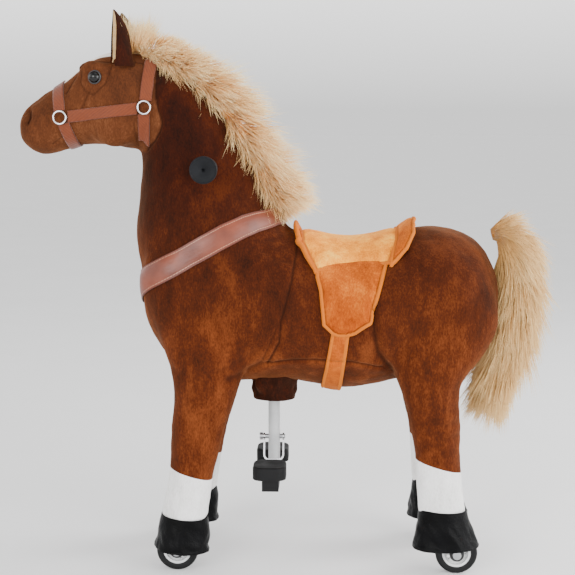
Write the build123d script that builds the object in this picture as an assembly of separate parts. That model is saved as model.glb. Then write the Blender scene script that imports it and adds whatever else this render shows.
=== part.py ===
"""Plush ride-on horse on wheels: a steel frame inside a stuffed velour body.

The horse faces -X, its left side is -Y and Z is up. The origin is on the floor,
under the middle of the overall box. Millimetres throughout.

The main frame carries the saddle, barrel and rump. The steering column turns in the
frame's head tube and carries the neck, head, handlebar and footrest. A fork for each
pair of legs swings on a cross axle, and a wheel runs in each hoof.
"""
from build123d import *
from math import cos, radians, sin
import os

# ---- driving dimensions ----
half_length = 452.0        # nose and tail stand this far each side of the origin
wheel_radius = 35.0
wheel_width = 24.0
steer_x = -128.0           # upright steering axis
shoulder = (-128.0, 450.0)  # x, z of the front fork's axle
hip = (230.0, 450.0)        # x, z of the rear fork's axle
front_wheel_x = -182.0
rear_wheel_x = 286.0
front_leg_y = 90.0
rear_leg_y = 92.0
leg_swing = 14.0           # degrees that each fork opens
post_x = -23.0             # footrest post
grip_z = 675.0
grip_end = 158.0
running = 0.05             # radial clearance of a running fit
joint_gap = 1.5            # clearance between stuffed pieces that move
padding = 22.0             # stuffing thickness over the frame's hollow
leg_tube_radius = 11.0
fork_half = 70.0           # the fork's eyes stand this far from the middle
eye_half = 13.0
tube_half = 55.0           # half length of the frame tubes that the eyes turn beside
bracket_top = 82.0
axle_radius = 8.0
wheel_bolt_radius = 4.0
head_arm_foot = (steer_x - 4, 0, 694)
head_arm_top = (-318, 0, 792)

# ---- stations of the stuffed pieces ----
# torso: x, underside z, top z, half width
torso_rows = [
    (-251, 440, 505, 34), (-240, 398, 560, 72), (-200, 346, 592, 98), (-150, 316, 606, 108),
    (-100, 308, 602, 113), (-50, 308, 588, 115), (0, 313, 572, 116), (50, 304, 554, 118),
    (100, 297, 546, 121), (150, 305, 552, 126), (200, 318, 568, 131), (250, 332, 573, 131),
    (300, 352, 562, 116), (335, 385, 530, 84), (354, 415, 488, 42),
]
# neck: throat point (x, z), crest point (x, z), half width
neck_rows = [
    ((-246, 425), (22, 548), 104), ((-252, 480), (6, 582), 102), ((-256, 560), (-27, 622), 92),
    ((-249, 630), (-60, 685), 80), ((-246, 680), (-92, 740), 70), ((-247, 722), (-120, 780), 62),
    ((-258, 765), (-152, 811), 54), ((-268, 805), (-198, 836), 40),
]
# head: x, jaw z, top z, half width
head_rows = [
    (-212, 745, 846, 40), (-240, 708, 862, 58), (-270, 705, 867, 63), (-300, 709, 865, 62),
    (-330, 712, 854, 57), (-355, 709, 834, 50), (-385, 700, 811, 44), (-410, 694, 797, 41),
    (-435, 703, 779, 36), (-half_length, 724, 757, 20),
]
# legs: z, front x, back x, half width
foreleg_rows = [(356, -194, -62, 43), (308, -187, -79, 39), (240, -191, -101, 36), (181, -195, -117, 34)]
foresock_rows = [(180, -195, -117, 34), (135, -201, -124, 34), (98, -208, -131, 36)]
forehoof_rows = [(97, -209, -130, 37), (60, -218, -129, 41), (31, -225, -130, 45)]
hindleg_rows = [(404, 152, 314, 44), (344, 176, 296, 42), (294, 195, 288, 39), (243, 207, 291, 36), (187, 216, 292, 34)]
hindsock_rows = [(186, 216, 292, 34), (140, 219, 296, 34), (113, 223, 301, 36)]
hindhoof_rows = [(112, 222, 302, 37), (75, 219, 313, 42), (42, 215, 326, 46)]
# tail: z, front x, back x, half width
tail_rows = [
    (576, 352, 394, 14), (560, 342, 418, 28), (530, 348, 442, 36), (500, 360, half_length, 42),
    (430, 362, 440, 46), (380, 350, 429, 45), (320, 328, 412, 40), (270, 326, 389, 28), (236, 336, 358, 10),
]
collar_slope = 26.0        # degrees that the breast collar rises towards the withers
collar_centre = (-122.0, 535.0)
steer_drum = 118.0         # everything that steers behind the axis stays inside this radius
leg_drum = {"fore": 113.0, "hind": 118.0}


def save(name, shape):
    shape.label = name
    export_step(shape, f"parts/{name}.step")


def rod(start, end, radius, inner=0.0):
    """A round bar, or a tube, between two points."""
    a, b = Vector(*start), Vector(*end)
    plane = Plane(origin=a, z_dir=b - a)
    ring = plane * Circle(radius)
    if inner:
        ring -= plane * Circle(inner)
    return extrude(ring, amount=(b - a).length)


def cross_rod(x, z, y_low, y_high, radius, inner=0.0):
    return rod((x, y_low, z), (x, y_high, z), radius, inner)


def upright(x, y, z_low, z_high, radius, inner=0.0):
    return rod((x, y, z_low), (x, y, z_high), radius, inner)


def box(x0, x1, y0, y1, z0, z1):
    return Pos((x0 + x1) / 2, (y0 + y1) / 2, (z0 + z1) / 2) * Box(x1 - x0, y1 - y0, z1 - z0)


def both(shape):
    """A left piece and its mirror image on the right, as one node."""
    return Compound(children=[shape, mirror(shape, about=Plane.XZ)])


def stack_x(rows, grow=0.0):
    """A stuffed shape through upright ellipses. grow swells it all round."""
    step = 1 if rows[-1][0] > rows[0][0] else -1
    faces = []
    for i, (x, low, high, half) in enumerate(rows):
        at = x - step * grow if i == 0 else x + step * grow if i == len(rows) - 1 else x
        plane = Plane(origin=(at, 0, (low + high) / 2), x_dir=(0, 1, 0), z_dir=(step, 0, 0))
        faces.append(plane * Ellipse(half + grow, (high - low) / 2 + grow))
    return loft(faces)


def stack_z(rows, y_mid, grow=0.0):
    """A stuffed shape through level ellipses."""
    step = 1 if rows[-1][0] > rows[0][0] else -1
    faces = []
    for i, (z, front, back, half) in enumerate(rows):
        at = z - step * grow if i == 0 else z + step * grow if i == len(rows) - 1 else z
        plane = Plane(origin=((front + back) / 2, y_mid, at), x_dir=(1, 0, 0), z_dir=(0, 0, step))
        faces.append(plane * Ellipse((back - front) / 2 + grow, half + grow))
    return loft(faces)


def stack_neck(rows, grow=0.0):
    """The neck, through ellipses that run from throat to crest."""
    faces = []
    for (front_x, front_z), (crest_x, crest_z), half in rows:
        across = Vector(crest_x - front_x, 0, crest_z - front_z)
        middle = ((front_x + crest_x) / 2, 0, (front_z + crest_z) / 2)
        plane = Plane(origin=middle, x_dir=across, z_dir=across.cross(Vector(0, 1, 0)) * -1)
        faces.append(plane * Ellipse(across.length / 2 + grow, half + grow))
    return loft(faces)


def side_slab(points, y_low, y_high):
    """A side view outline, drawn through x, z points with straight runs, as a slab across Y."""
    outline = Plane.XZ * make_face(Polyline([(x, z) for x, z in points], close=True))
    return Pos(0, y_high, 0) * extrude(outline, amount=y_high - y_low)


def wedge(pivot, front_angle, back_angle, y_low, y_high, reach=420.0):
    """The sector under a pivot that a leg sweeps, front_angle ahead of straight down."""
    x, z = pivot
    rim = [
        (x - reach * sin(radians(a)), z - reach * cos(radians(a)))
        for a in (front_angle, (front_angle - back_angle) / 2, -back_angle)
    ]
    return side_slab([(x, z)] + rim, y_low, y_high)


def collar_plane(offset):
    """The sloping plane of the breast collar, moved along its own normal."""
    slope = radians(collar_slope)
    normal = Vector(-sin(slope), 0, cos(slope))
    return Plane(origin=Vector(collar_centre[0], 0, collar_centre[1]) + normal * offset,
                 x_dir=(cos(slope), 0, sin(slope)), z_dir=normal)


def collar_slab(low, high):
    return extrude(collar_plane(low) * Rectangle(900, 400), amount=high - low)


def laid_on(stack, rows, outer, inner, region):
    """The part of region that lies between two swellings of a stuffed shape."""
    return (stack(rows, outer) & region) - stack(rows, inner)


# ---- regions shared by the stuffed pieces ----
torso = stack_x(torso_rows)
hollow = stack_x(torso_rows[1:-1], grow=-padding)
steering_zone = upright(steer_x, 0, 100, 1000, steer_drum) + box(-600, steer_x, -200, 200, 100, 1000)
steering_zone_clear = (upright(steer_x, 0, 90, 1010, steer_drum + joint_gap)
                       + box(-610, steer_x, -210, 210, 90, 1010))
collar_low, collar_high = -24.0, 22.0
neck_bottom = collar_low - 2.0


def leg_well(kind, pivot, front_angle, back_angle, sweep_front, sweep_back):
    """What a stuffed piece gives up so that one pair of legs can swing."""
    drum = cross_rod(*pivot, -200, 200, leg_drum[kind])
    outer = wedge(pivot, front_angle + sweep_front, back_angle + sweep_back, 46, 200) - drum
    slot = wedge(pivot, 25 + sweep_front, 25 + sweep_back, fork_half - 14, fork_half + 28)
    return outer + mirror(outer, about=Plane.XZ) + slot + mirror(slot, about=Plane.XZ)


fore_well = leg_well("fore", shoulder, 37, 40, leg_swing + 2, 0)
hind_well = leg_well("hind", hip, 33, 42, 0, leg_swing + 2)


# ---- stuffed body ----
def make_chest():
    chest = torso & steering_zone
    chest -= extrude(collar_plane(neck_bottom - 1) * Rectangle(900, 400), amount=400)
    chest -= hollow + fore_well + cross_rod(*shoulder, -92, 92, 20)
    return chest - upright(post_x, 0, 250, 420, 12.5)


def make_barrel_and_rump():
    rear = torso - steering_zone_clear - hollow - hind_well - box(2, 178, -51, 51, 470, 536)
    split = 165.0
    barrel = rear & box(-200, split - 0.25, -200, 200, 200, 700)
    rump = rear & box(split + 0.25, 400, -200, 200, 200, 700)
    return barrel, rump


def make_neck():
    neck = stack_neck(neck_rows) & steering_zone
    neck &= extrude(collar_plane(neck_bottom) * Rectangle(900, 400), amount=600)
    neck -= side_slab([(-320, 700), (-246, 700), (-207, 716), (-207, 920), (-320, 920)], -120, 120)
    neck -= upright(steer_x, 0, 400, 588, 27) + upright(steer_x, 0, 580, 712, 18.5)
    neck -= box(steer_x, 20, -46, 46, 380, 550)
    neck -= cross_rod(steer_x, grip_z, -200, 200, 12)
    return neck - rod(head_arm_foot, head_arm_top, 14)


def make_collar():
    return laid_on(stack_neck, neck_rows, 3.5, 1.0, collar_slab(collar_low, collar_high) & steering_zone)


def make_leg(kind, rows, pivot, y_mid, tube):
    leg = stack_z(rows, -y_mid)
    leg -= box(-400, 400, -47.5, 60, 100, 500)
    leg -= cross_rod(*pivot, -300, 300, leg_drum[kind] + joint_gap)
    return leg - rod(*tube, leg_tube_radius + 1.5)


def make_sock(rows, y_mid, tube):
    return stack_z(rows, -y_mid) - rod(*tube, leg_tube_radius + 1.5)


def make_hoof(rows, y_mid, tube):
    """A leatherette skirt, open below round the wheel, with a padded top."""
    inner_rows = [(z - 12 if i == 0 else z, f + 4, b - 4, w - 4) for i, (z, f, b, w) in enumerate(rows)]
    inner_rows[-1] = (rows[-1][0] - 1,) + inner_rows[-1][1:]
    return stack_z(rows, -y_mid) - stack_z(inner_rows, -y_mid) - rod(*tube, leg_tube_radius + 1.5)


# ---- steel ----


def leg_tube(pivot, wheel_x, y_mid):
    lean = -9.0 if wheel_x > 0 else 0.0
    return (pivot[0], -fork_half, pivot[1]), (wheel_x + lean, -y_mid, bracket_top)


fore_tube = leg_tube(shoulder, front_wheel_x, front_leg_y)
hind_tube = leg_tube(hip, rear_wheel_x, rear_leg_y)


def make_main_frame():
    head_tube = upright(steer_x, 0, 500, 566, 24)
    hip_tube = cross_rod(*hip, -tube_half, tube_half, 16)
    spine = rod((steer_x + 15, 0, 528), (hip[0] - 6, 0, hip[1] + 6), 17)
    posts = upright(40, 0, 490, 519, 10) + upright(140, 0, 470, 519, 10)
    gusset = side_slab([(hip[0] - 70, 478), (hip[0] + 8, 466), (hip[0] + 8, 440), (hip[0] - 40, 448)], -3, 3)
    frame = head_tube + spine + hip_tube + posts + gusset
    frame -= upright(steer_x, 0, 480, 580, 20)
    frame -= cross_rod(*hip, -80, 80, axle_radius + running)
    pads = box(28, 52, -22, 22, 519, 523) + box(128, 152, -22, 22, 519, 523)
    return frame + (pads - screw_holes(2.52))


def make_head_bushes():
    low = upright(steer_x, 0, 500, 516, 20 - 0.02) - upright(steer_x, 0, 490, 530, 17 + running)
    flange = upright(steer_x, 0, 496, 499.9, 25) - upright(steer_x, 0, 490, 505, 17 + running)
    lower = low + flange + (upright(steer_x, 0, 499, 501, 19.5) - upright(steer_x, 0, 490, 530, 17 + running))
    upper = mirror(lower, about=Plane.XY.offset(533))
    return Compound(children=[lower, upper])


def make_steering_column():
    column = upright(steer_x, 0, 456, 706, 17)
    shoulder_tube = cross_rod(*shoulder, -tube_half, tube_half, 16)
    thrust_ring = upright(steer_x, 0, 484, 495.6, 24)
    strut = rod((shoulder[0] + 8, 0, shoulder[1] - 8), (post_x, 0, 352), 9)
    post_head = upright(post_x, 0, 340, 358, 14)
    column = column + shoulder_tube + thrust_ring + strut + post_head
    column -= upright(steer_x, 0, 470, 720, 14)
    column -= cross_rod(*shoulder, -80, 80, axle_radius + running)
    column -= cross_rod(steer_x, grip_z, -40, 40, 11)
    column -= upright(post_x, 0, 330, 354, 10)
    return column


def make_stop_collar():
    ring = upright(steer_x, 0, 570.3, 582, 24)
    return ring - upright(steer_x, 0, 560, 590, 17.02)


def make_head_frame():
    arm = rod(head_arm_foot, head_arm_top, 12.5)
    return arm - upright(steer_x, 0, 600, 760, 17) - cross_rod(steer_x, grip_z, -40, 40, 12)


def make_fork(pivot, tube, wheel_x, y_mid):
    """Two leg tubes on a common brace, each with an eye at the top and a wheel bracket below."""
    leg = rod(*tube, leg_tube_radius)
    leg += cross_rod(*pivot, -fork_half - eye_half, -fork_half + eye_half, 15)
    plate = box(wheel_x - 12, wheel_x + 12, -y_mid - 18, -y_mid - 15, wheel_radius, bracket_top)
    plate += cross_rod(wheel_x, wheel_radius, -y_mid - 18, -y_mid - 15, 12)
    leg += plate + mirror(plate, about=Plane.XZ.offset(y_mid))
    leg += box(wheel_x - 16, wheel_x + 14, -y_mid - 18, -y_mid + 18, bracket_top - 4, bracket_top)
    lean = (tube[1][0] - tube[0][0]) / (pivot[1] - bracket_top)
    brace_z = pivot[1] - 62
    brace_x = pivot[0] + lean * 62
    fork = leg + mirror(leg, about=Plane.XZ) + cross_rod(brace_x, brace_z, -fork_half, fork_half, 8)
    fork -= cross_rod(*pivot, -120, 120, axle_radius + 0.02)
    return fork - cross_rod(wheel_x, wheel_radius, -150, 150, wheel_bolt_radius + 0.02)


def make_fork_axle(pivot):
    end = fork_half + eye_half
    bar = cross_rod(*pivot, -end - 2, end + 2, axle_radius)
    head = cross_rod(*pivot, -end - 4, -end - 0.1, 12)
    return bar + head + mirror(head, about=Plane.XZ)


def make_wheel_bolts(wheel_x, y_mid):
    bolt = cross_rod(wheel_x, wheel_radius, -y_mid - 23, -y_mid + 23, wheel_bolt_radius)
    bolt += cross_rod(wheel_x, wheel_radius, -y_mid - 24, -y_mid - 18.1, 7)
    bolt += cross_rod(wheel_x, wheel_radius, -y_mid + 18.1, -y_mid + 24, 7)
    return both(bolt)


def make_tyre(wheel_x, y_mid):
    half = wheel_width / 2
    profile = Pos(0, 0) * RectangleRounded(13, wheel_width, 5)
    ring = Plane.XY * Pos(wheel_radius - 6.5, 0) * profile
    tyre = revolve(ring, axis=Axis.Y)
    tyre -= cross_rod(0, 0, -half - 1, half + 1, wheel_radius - 11)
    return Pos(wheel_x, y_mid, wheel_radius) * tyre


def make_hub(wheel_x, y_mid):
    half = wheel_width / 2
    rim = cross_rod(0, 0, -half + 2, half - 2, wheel_radius - 11.02, wheel_radius - 15)
    web = cross_rod(0, 0, -3, 3, wheel_radius - 14)
    boss = cross_rod(0, 0, -half - 1, half + 1, 10)
    hub = rim + web + boss
    for i in range(5):
        hub -= Rot(0, 72 * i, 0) * cross_rod(15, 0, -20, 20, 3.2)
    hub -= cross_rod(0, 0, -20, 20, wheel_bolt_radius + running)
    return Pos(wheel_x, y_mid, wheel_radius) * hub


# ---- handlebar, footrest and locking pin ----
def make_handlebar():
    return cross_rod(steer_x, grip_z, -grip_end + 8, grip_end - 8, 10.98, 8.5)


def make_grip():
    sleeve = cross_rod(steer_x, grip_z, -grip_end + 6, -84, 17, 11)
    cap = cross_rod(steer_x, grip_z, -grip_end, -grip_end + 7.9, 22)
    cap = chamfer(cap.edges().group_by(Axis.Y)[0], 1.5)
    return (sleeve + cap) - cross_rod(steer_x, grip_z, -grip_end - 1, -grip_end + 9, 2.4)


pin_z = 208.0
post_low = 163.0
tee_z = 150.0


def make_footrest_post():
    post = upright(post_x, 0, post_low, 353.9, 9.98, 8.0 + running)
    return post - rod((post_x - 20, 0, pin_z), (post_x + 20, 0, pin_z), wheel_bolt_radius + 0.02)


def make_footrest_tee():
    stem = upright(post_x, 0, tee_z, 268, 8.0, 5.5)
    cross = cross_rod(post_x, tee_z, -86, 86, 9)
    slot = box(post_x - 20, post_x + 20, -4.4, 4.4, pin_z - 5, pin_z + 52)
    stem -= slot
    return stem + cross


def make_peg():
    """A rubber tread with a narrower foot, pushed over the cross tube. Its outer end is closed."""
    tread = Pos(post_x - 5, -62, 164) * extrude(RectangleRounded(56, 64, 18), amount=11, both=True)
    tread = fillet(tread.edges().group_by(Axis.Z)[-1], 4)
    foot = box(post_x - 17, post_x + 11, -90, -34, 134, 154)
    return tread + foot - cross_rod(post_x, tee_z, -88, 100, 9)


def make_lock_pin():
    shaft = rod((post_x - 20, 0, pin_z), (post_x + 19, 0, pin_z), wheel_bolt_radius)
    head = rod((post_x - 25, 0, pin_z), (post_x - 19.5, 0, pin_z), 6.5)
    return shaft + head


def make_lock_bail():
    """A wire bow that hangs from the pin's two ends and leans out past the post."""
    left, right, drop, lean = post_x - 17, post_x + 16, 41, 18
    wire = FilletPolyline([(left, -5), (left, -drop), (right, -drop), (right, -5)], radius=9)
    bow = Pos(0, 0, pin_z) * Rot(90 - lean, 0, 0) * extrude(trace(wire, 2.8), amount=1.4, both=True)
    for x in (left, right):
        bow += rod((x - 1.4, 0, pin_z), (x + 1.4, 0, pin_z), 6.4)
    return bow - rod((left - 5, 0, pin_z), (right + 5, 0, pin_z), wheel_bolt_radius + running)


def make_sleeve():
    rows = [(306, -60, 12, 36), (278, -57, 10, 33)]
    inner = [(307, -57, 9, 33), (277, -54, 7, 30)]
    return stack_z(rows, 0) - stack_z(inner, 0)


# ---- saddle ----
seat_rows = [
    (12, 500, 585, 70), (38, 490, 568, 84), (70, 485, 561, 92), (105, 485, 560, 96),
    (149, 490, 569, 100), (178, 495, 577, 102),
]
flap_outline = [(6, 560), (25, 500), (46, 450), (50, 408), (66, 388), (106, 388), (138, 412),
                (152, 452), (166, 500), (172, 560)]
girth_x = (68.0, 102.0)


def make_saddle():
    over_torso = stack_x(torso_rows, 1.5)
    flap = laid_on(stack_x, torso_rows, 9.0, 1.5, side_slab(flap_outline, -200, -1))
    seat = stack_x(seat_rows) - stack_x(torso_rows, 9.4)
    pommel = (stack_x([(2, 480, 592, 78), (11.5, 480, 588, 78)]) - over_torso) & box(-20, 40, -90, 90, 540, 700)
    pommel -= flap + mirror(flap, about=Plane.XZ)
    cantle = (stack_x([(179, 450, 584, 106), (200, 450, 592, 108), (216, 450, 593, 96)]) - over_torso)
    cantle = cantle & box(150, 240, -120, 120, 520, 700)
    girth = laid_on(stack_x, torso_rows, 5.0, 1.5, box(*girth_x, -200, 200, 250, 387))
    return flap, seat, pommel, cantle, girth


def make_saddle_board():
    board = Pos(90, 0, 527.1) * extrude(RectangleRounded(170, 96, 20), amount=4, both=True)
    return board - screw_holes(2.7)


def screw_places():
    return [(x, y) for x in (40, 140) for y in (-14, 14)]


def screw_holes(radius):
    return Compound(children=[upright(x, y, 510, 540, radius) for x, y in screw_places()])


def make_board_screws():
    return Compound(children=[
        upright(x, y, 514, 531.0, 2.5) + upright(x, y, 531.2, 533.5, 4.5) + upright(x, y, 530.9, 531.3, 2.5)
        for x, y in screw_places()
    ])


# ---- head, halter, hair ----
def make_head(head):
    head = head - rod(head_arm_foot, head_arm_top, 13)
    for side in (-1, 1):
        head -= Pos(eye_x, side * eye_y, eye_z) * Sphere(12.4)
    return head - box(-296, -252, -60, 60, 848, 900)


eye_x, eye_y, eye_z = -316.0, 51.0, 823.0
ear_rows = [(849, -287, -260, 10), (880, -291, -257, 14), (908, -293, -266, 11), (935, -290, -281, 3)]


def make_eyes():
    return both(Pos(eye_x, -eye_y, eye_z) * Sphere(12))


def make_ears():
    return both(stack_z(ear_rows, -44))


def make_forelock():
    tuft = stack_z([(849, -290, -256, 20), (885, -298, -244, 24), (912, -297, -240, 20), (927, -280, -246, 8)], 0)
    return tuft - stack_x(head_rows, 3.8)


def make_mane():
    crest = Spline((-236, 867), (-222, 885), (-190, 889), (-112, 852), (-28, 762), (22, 665), (26, 612))
    roots = Polyline((26, 612), (4, 602), (-25, 627), (-58, 689), (-90, 744), (-118, 784), (-151, 815),
                     (-197, 840), (-206, 855), (-236, 867))
    return Pos(0, 21, 0) * extrude(Plane.XZ * make_face(crest + roots), amount=42)


ring_front, ring_rear = (-376.0, 757.0), (-234.0, 773.5)
strap_half = 9.5


def strap_box(start, end, overrun=0.0):
    """A slab one strap wide along the line from start to end, in side view."""
    a, b = Vector(start[0], start[1]), Vector(end[0], end[1])
    along = (b - a).normalized()
    side = Vector(-along.Y, along.X) * strap_half
    b = b + along * overrun
    return side_slab([(p.X, p.Y) for p in (a + side, b + side, b - side, a - side)], -200, 200)


def make_halter():
    """Five straps that run between the rings, each a band laid on the head."""
    runs = [
        ((ring_front[0] - 1, ring_front[1] + 13), (-386, 830)),
        ((ring_front[0] + 3, ring_front[1] - 13), (-356, 690)),
        ((ring_rear[0] + 1, ring_rear[1] + 13), (-225, 880)),
        ((ring_rear[0] - 1, ring_rear[1] - 13), (-239, 690)),
        ((ring_front[0] + 16, 758.5), (ring_rear[0] - 14, 772)),
    ]
    return [laid_on(stack_x, head_rows, 3.2, 0.8, strap_box(*run)) for run in runs]


def make_rings():
    places = [(ring_front, 51.5), (ring_rear, 62.0)]
    rings = [Pos(x, -y, z) * Rot(90, 0, 0) * Torus(10.5, 1.5) for (x, z), y in places]
    return Compound(children=rings + [mirror(r, about=Plane.XZ) for r in rings])


def main():
    os.makedirs("parts", exist_ok=True)
    for old in os.listdir("parts"):
        os.remove(os.path.join("parts", old))
    head_solid = stack_x(head_rows)

    # main frame and what it carries
    save("main_frame", make_main_frame())
    save("head_tube_bushes", make_head_bushes())
    save("saddle_board", make_saddle_board())
    save("board_screws", make_board_screws())
    barrel, rump = make_barrel_and_rump()
    save("barrel", barrel)
    save("rump", rump)
    flap, seat, pommel, cantle, girth = make_saddle()
    save("saddle_seat", seat)
    save("saddle_pommel", pommel)
    save("saddle_cantle", cantle)
    save("saddle_flap_left", flap)
    save("saddle_flap_right", mirror(flap, about=Plane.XZ))
    save("girth_strap", girth)
    save("tail", stack_z(tail_rows, 0) - stack_x(torso_rows, 0.5))

    # steering column and what it carries
    save("steering_column", make_steering_column())
    save("stop_collar", make_stop_collar())
    save("head_frame", make_head_frame())
    save("handlebar", make_handlebar())
    save("grips", both(make_grip()))
    save("chest", make_chest())
    save("neck", make_neck())
    save("breast_collar", make_collar())
    save("footrest_sleeve", make_sleeve())
    save("footrest_post", make_footrest_post())
    save("head", make_head(head_solid))
    save("eyes", make_eyes())
    save("ears", make_ears() - head_solid)
    save("forelock", make_forelock())
    save("mane", make_mane())
    noseband, chin, crown, throat, cheeks = make_halter()
    save("noseband", noseband)
    save("chin_strap", chin)
    save("crown_strap", crown)
    save("throat_strap", throat)
    save("cheek_straps", cheeks)
    save("halter_rings", make_rings())

    # footrest and its lock
    save("footrest_tee", make_footrest_tee())
    save("foot_pegs", both(make_peg()))
    save("lock_pin", make_lock_pin())
    save("lock_bail", make_lock_bail())

    # legs and wheels
    legs = {
        "fore": (foreleg_rows, foresock_rows, forehoof_rows, shoulder, fore_tube, front_wheel_x, front_leg_y),
        "hind": (hindleg_rows, hindsock_rows, hindhoof_rows, hip, hind_tube, rear_wheel_x, rear_leg_y),
    }
    for kind, (leg_rows, sock_rows, hoof_rows, pivot, tube, wheel_x, y_mid) in legs.items():
        end = "front" if kind == "fore" else "rear"
        save(f"{end}_fork", make_fork(pivot, tube, wheel_x, y_mid))
        save(f"{end}_fork_axle", make_fork_axle(pivot))
        save(f"{end}_wheel_bolts", make_wheel_bolts(wheel_x, y_mid))
        leg = make_leg(kind, leg_rows, pivot, y_mid, tube)
        save(f"{kind}leg_left", leg)
        save(f"{kind}leg_right", mirror(leg, about=Plane.XZ))
        save(f"{kind}_socks", both(make_sock(sock_rows, y_mid, tube)))
        save(f"{kind}_hoof_covers", both(make_hoof(hoof_rows, y_mid, tube)))
        for side, y in (("left", -y_mid), ("right", y_mid)):
            save(f"{end}_tyre_{side}", make_tyre(wheel_x, y))
            save(f"{end}_hub_{side}", make_hub(wheel_x, y))


main()
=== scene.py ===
import bpy
import bmesh
import random
import numpy as np
from math import cos, pi, radians, sin
from mathutils import Matrix, Vector, noise
from mathutils.bvhtree import BVHTree


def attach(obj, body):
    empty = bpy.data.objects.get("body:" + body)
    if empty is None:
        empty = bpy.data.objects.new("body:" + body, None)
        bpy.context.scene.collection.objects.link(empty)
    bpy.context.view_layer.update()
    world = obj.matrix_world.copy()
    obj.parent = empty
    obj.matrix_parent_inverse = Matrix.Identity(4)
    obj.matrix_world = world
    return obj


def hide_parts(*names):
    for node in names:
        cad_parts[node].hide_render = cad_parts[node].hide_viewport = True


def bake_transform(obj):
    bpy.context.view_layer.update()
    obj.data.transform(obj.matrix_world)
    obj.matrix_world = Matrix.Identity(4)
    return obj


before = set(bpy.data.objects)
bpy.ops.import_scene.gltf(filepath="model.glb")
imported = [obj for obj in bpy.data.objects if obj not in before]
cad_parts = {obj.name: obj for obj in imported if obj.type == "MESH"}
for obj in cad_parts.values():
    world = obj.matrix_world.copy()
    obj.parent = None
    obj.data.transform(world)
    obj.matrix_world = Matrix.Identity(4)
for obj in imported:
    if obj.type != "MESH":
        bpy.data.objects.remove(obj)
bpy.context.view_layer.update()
print("frame loaded")
mm = 0.001


def linear(hexColour):  # sRGB hex to the linear colour that shaders take
    parts = [int(hexColour[i:i + 2], 16) / 255 for i in (1, 3, 5)]
    return [p / 12.92 if p <= 0.04045 else ((p + 0.055) / 1.055) ** 2.4 for p in parts] + [1.0]


def addNode(tree, kind, inputs=None, stops=None, **settings):  # one node with its settings and links
    node = tree.nodes.new("ShaderNode" + kind)
    for name, value in settings.items():
        setattr(node, name, value)
    for name, value in (inputs or {}).items():
        socket = node.inputs[name]
        if kind == "Mix" and settings.get("data_type") == "RGBA" and name in ("A", "B"):
            socket = [i for i in node.inputs if i.name == name and i.type == "RGBA"][0]
        if isinstance(value, bpy.types.NodeSocket):
            tree.links.new(value, socket)
        else:
            socket.default_value = value
    for i, (place, colour) in enumerate(stops or []):
        element = node.color_ramp.elements[i] if i < 2 else node.color_ramp.elements.new(place)
        element.position, element.color = place, linear(colour)
    return node


def startMaterial(name, **shaderInputs):  # an empty shader tree and its Object coordinates
    material = bpy.data.materials.new(name)
    material.use_nodes = True
    tree = material.node_tree
    tree.nodes.clear()
    shader = addNode(tree, "BsdfPrincipled")
    for key, value in shaderInputs.items():
        shader.inputs[key.replace("_", " ")].default_value = value
    addNode(tree, "OutputMaterial", {"Surface": shader.outputs[0]})
    place = addNode(tree, "TexCoord").outputs["Object"]
    return material, tree, shader, place


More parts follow.
